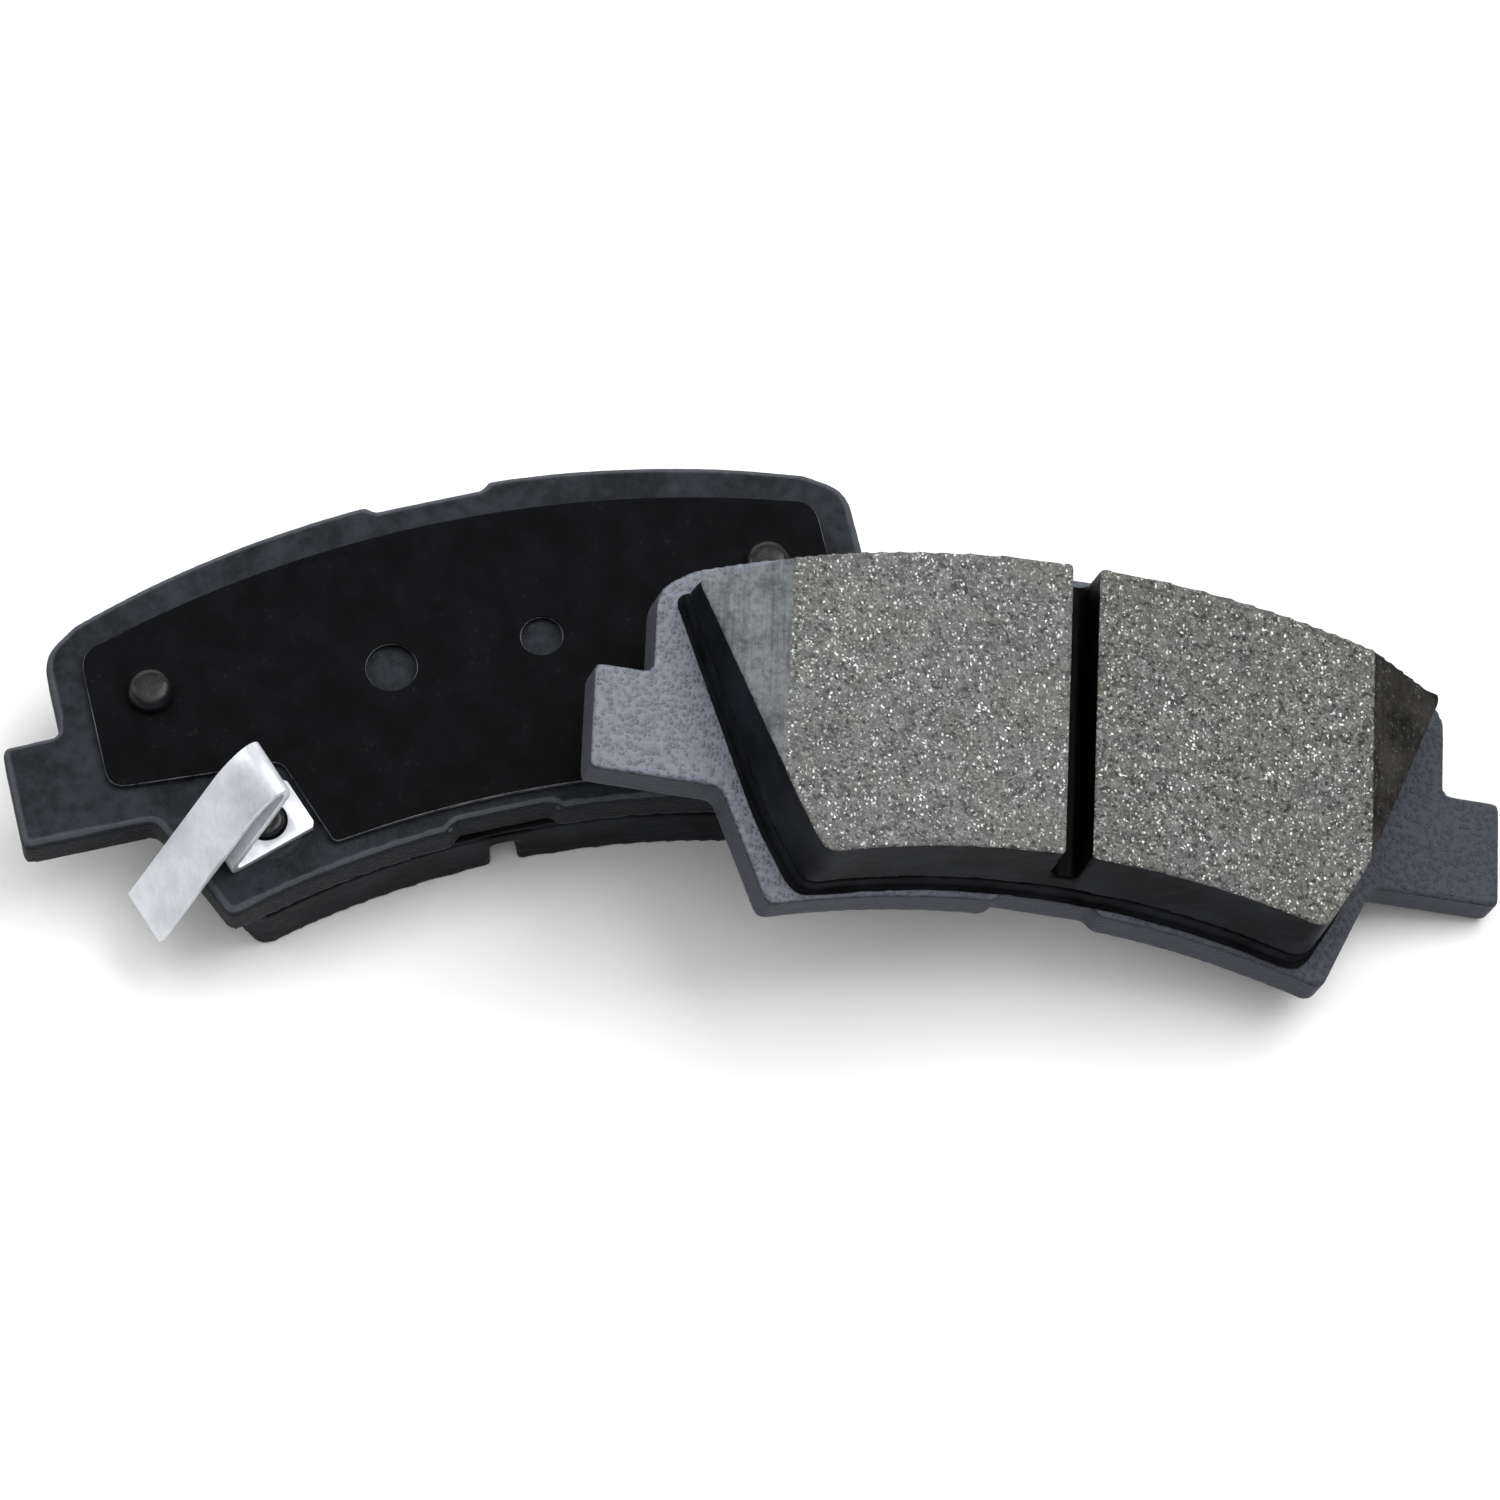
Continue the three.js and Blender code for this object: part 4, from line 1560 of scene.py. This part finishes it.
@dataclass
class WearIndicator(SubAssembly):
    """The inner pad's folded spring-steel strip, on a stud of the backing plate."""

    plate_back: float = -5.0
    gap: float = 0.03
    width: float = 6.4
    thickness: float = 0.8
    foot: float = 9.6
    setback: float = 5.4
    fold_out: float = -6.4
    fold_rise: float = 12.8
    tip_out: float = 9.6
    tip_drop: float = 6.4
    heel_x: float = 29.6
    heel_y: float = -4.8
    turn: float = math.atan2(-0.325, 0.945)
    pinch: float = 0.55
    ragged: float = 0.22
    broken_edge: float = 0.12
    hole: float = 2.3
    rivet: float = 1.95
    rivet_height: float = 1.5
    zinc: BareSteel = BareSteel(
        (0.72, 0.74, 0.77),
        (0.58, 0.60, 0.64),
        rough=0.30,
        metallic=0.5,
        marks=Cloud(0.35, 4, 0.65, shift=111, stretch=(1, 0.3, 0.08)),
    )

    def _to_pad(self) -> Matrix:
        """Returns the matrix from the strip's side view (out, across, up) to the pad's frame."""
        foot = Matrix.Translation((self.heel_x, self.heel_y, self.plate_back - self.gap))
        return foot @ Matrix.Rotation(self.turn, 4, "Z") @ Matrix.Diagonal((1, -1, -1, 1))

    @staticmethod
    def _curve(points: Sequence[Point2], steps: int) -> list[Vector]:
        """Samples a Bezier curve, after its first point.

        Args:
            points: Its two to four control points.
            steps: Number of samples.

        Returns:
            The samples.
        """
        degree = len(points) - 1
        run = []
        for step in range(1, steps + 1):
            t = step / steps
            at = Vector((0, 0))
            for k, point in enumerate(points):
                at += Vector(point) * (math.comb(degree, k) * (1 - t) ** (degree - k) * t**k)
            run.append(at)
        return run

    def centre_line(self) -> list[Vector]:
        """Draws the strip's side view.

        Returns:
            Points of distance out towards the toe and height off the plate.
        """
        half, out, rise = self.thickness / 2, self.fold_out, self.fold_rise
        line = [Vector((-self.foot, half)), Vector((-self.foot + 0.4, half))]
        stretches = (
            (6, (-0.8, half)),
            (10, (0.7, half), (0.1, half + 1.5)),
            (8, (out - 0.1, rise - 1.3)),
            (16, (out - 0.6, rise + 0.4), (out + 0.2, rise + 0.9), (out + 1.5, rise + 0.1)),
            (8, (out + 3.0, rise - 0.8), (out + 4.4, rise - 2.6)),
            (20, (self.tip_out, -self.tip_drop)),
        )
        for steps, *controls in stretches:
            line += self._curve([line[-1], *controls], steps)
        return line

    def _section(self, line: Sequence[Vector], index: int) -> list[Vector]:
        """Draws the strip's section at one point of its centre line.

        Args:
            line: The centre line.
            index: The point.

        Returns:
            The section's four corners.
        """
        along = (line[min(index + 1, len(line) - 1)] - line[max(index - 1, 0)]).normalized()
        lift = Vector((-along.y, along.x)) * self.thickness / 2
        travel = index / (len(line) - 1)
        pinch = self.pinch if index == 0 else 0.0
        ragged = self.ragged * max(0.0, noise.noise(Vector((3.1, 40 * travel, 0))) - 0.1)
        ragged *= 1.0 if 0.42 < travel < 0.62 else 0.25
        left, right = self.width / 2 - pinch - ragged, pinch - self.width / 2
        low, high = line[index] - lift, line[index] + lift
        corners = ((left, low), (left, high), (right, high), (right, low))
        return [Vector((at.x, across, at.y)) for across, at in corners]

    def build(self) -> bpy.types.Object:
        """Makes the strip with its hole, sheared edges and broken corners.

        Returns:
            The strip.
        """
        line = self.centre_line()
        rings = [self._section(line, index) for index in range(len(line))]
        strip = to_object(self.named("wear_strip"), loft(rings))
        drill(strip, (-self.setback, 0), self.hole, -OVERSHOOT, 2 * OVERSHOOT)
        clean(strip)
        sharp = math.radians(50)
        modify(strip, "BEVEL", width=self.broken_edge, segments=2, limit_method="ANGLE", angle_limit=sharp)
        strip.data.transform(self._to_pad())
        clean(strip)
        return strip

    def build_rivet(self) -> bpy.types.Object:
        """Makes the staked stud in the strip's hole.

        Returns:
            The rivet.
        """
        section = ((1.0, 0.0), (1.0, 0.7), (0.95, 0.86), (0.84, 0.96), (0.7, 1.0), (0.5, 0.98),
                   (0.36, 0.84), (0.2, 0.76))
        side = [(self.rivet * r, self.rivet_height * z) for r, z in section]
        profile = [(0.05, 0.0), *side, (0.03, 0.74 * self.rivet_height)]
        rivet = to_object(self.named("strip_rivet"), revolve(profile))
        rivet.data.transform(self._to_pad() @ Matrix.Translation((-self.setback, 0, 0)))
        clean(rivet)
        return rivet

    def run(self) -> None:
        """Builds the strip and its rivet and dresses them."""
        zinc = self.material(self.zinc, "zinc_plate")
        self.dress(self.build(), zinc, "zinc_plated_strip", "wear_indicator", 35)
        black = self.material(BlackenedSteel(), "rivet_black")
        self.dress(self.build_rivet(), black, "coated_stud", "wear_indicator_rivet", 50)


@dataclass
class Pad:
    """One whole pad."""

    side: Side
    chip_seeds: tuple[int, int] = (7, 19)

    def run(self) -> None:
        """Builds and dresses every piece of the pad."""
        inner = self.side is Side.INNER
        place = Placement.from_frame(self.side, NoiseShim.stud_y)
        BackingPlate(place).run()
        FrictionBlock(place, seed=self.chip_seeds[0 if inner else 1]).run()
        NoiseShim(place).run()
        if inner:
            WearIndicator(place).run()


# --------------------------------------------------------------------------------------------
# Studio
# --------------------------------------------------------------------------------------------


@dataclass(frozen=True)
class SoftLight:
    """A large soft light that points at the pads."""

    name: str
    at: Triple
    size: tuple[float, float]
    power: float

    def place(self, target: Vector) -> None:
        """Adds the light.

        Args:
            target: What it points at.
        """
        lamp = bpy.data.lights.new(self.name, "AREA")
        lamp.shape = "RECTANGLE"
        lamp.size, lamp.size_y = self.size
        lamp.energy = self.power
        holder = bpy.data.objects.new(self.name, lamp)
        holder.location = self.at
        holder.rotation_euler = (target - Vector(self.at)).to_track_quat("-Z", "Y").to_euler()
        bpy.context.scene.collection.objects.link(holder)


@dataclass
class Studio:
    """Floor, soft lights and camera; `lens` is in millimetres, on a sensor of `sensor` millimetres."""

    elevation: float = math.radians(66)
    distance: float = 1.05
    lens: float = 239.4
    sensor: float = 36.0
    look_at: Vector = field(default_factory=lambda: Vector((-0.0004, -0.0036, 0.014)))
    floor_size: float = 6.0
    floor_drop: float = 0.0002
    floor_white: Colour = (0.93, 0.93, 0.93)
    sky: float = 0.42
    lights: tuple[SoftLight, ...] = (
        SoftLight("key", (0.48, 0.22, 0.92), (0.7, 0.7), 8.0),
        SoftLight("overhead", (-0.1, -0.1, 1.2), (1.4, 1.1), 5.6),
        SoftLight("left_window", (-0.8, 0.25, 0.45), (0.3, 0.5), 1.6),
        SoftLight("back_strip", (-0.2, 1.0, 0.32), (1.2, 0.2), 3.0),
    )

    def run(self) -> None:
        """Sets the studio up."""
        self._floor()
        self._world()
        for light in self.lights:
            light.place(self.look_at)
        self._camera()

    def _floor(self) -> None:
        """Lays the plain pale floor."""
        body = bmesh.new()
        bmesh.ops.create_grid(body, x_segments=1, y_segments=1, size=self.floor_size)
        floor = to_object("floor", body)
        floor.location.z = -self.floor_drop
        material = bpy.data.materials.new("pale_floor")
        material.use_nodes = True
        tree = material.node_tree
        values = {"Base Color": self.floor_white, "Roughness": 0.9, "Specular IOR Level": 0.1}
        for name, value in values.items():
            feed(tree, tree.nodes["Principled BSDF"].inputs[name], value)
        floor.data.materials.append(material)

    def _world(self) -> None:
        """Fills the room with soft white light, brightest overhead."""
        world = bpy.data.worlds.new("studio")
        world.use_nodes = True
        tree = world.node_tree
        background = tree.nodes["Background"]
        coords = add_node(tree, "ShaderNodeTexCoord")
        split = add_node(tree, "ShaderNodeSeparateXYZ", None, {0: coords.outputs["Generated"]})
        rise = {
            "Value": split.outputs[2],
            "From Min": 0.1,
            "From Max": 0.95,
            "To Min": 0.35 * self.sky,
            "To Max": 1.5 * self.sky,
        }
        strength = add_node(tree, "ShaderNodeMapRange", {"interpolation_type": "SMOOTHSTEP"}, rise)
        feed(tree, background.inputs["Strength"], strength)
        feed(tree, background.inputs["Color"], WHITE)
        bpy.context.scene.world = world
        bpy.context.scene.view_settings.view_transform = "Standard"

    def _camera(self) -> None:
        """Adds the camera, in front of the pads and well above them."""
        lens = bpy.data.cameras.new("camera")
        lens.sensor_width = self.sensor
        lens.lens = self.lens
        lens.clip_start, lens.clip_end = 0.01, 20.0
        camera = bpy.data.objects.new("camera", lens)
        back = Vector((0, -math.cos(self.elevation), math.sin(self.elevation)))
        camera.location = self.look_at + back * self.distance
        camera.rotation_euler = (-back).to_track_quat("-Z", "Y").to_euler()
        bpy.context.scene.collection.objects.link(camera)
        bpy.context.scene.camera = camera


def main() -> None:
    """Builds the studio and both pads round the frame."""
    logging.basicConfig(level=logging.INFO, format="%(name)s: %(message)s")
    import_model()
    Studio().run()
    for side in Side:
        Pad(side).run()


if __name__ == "__main__":
    main()
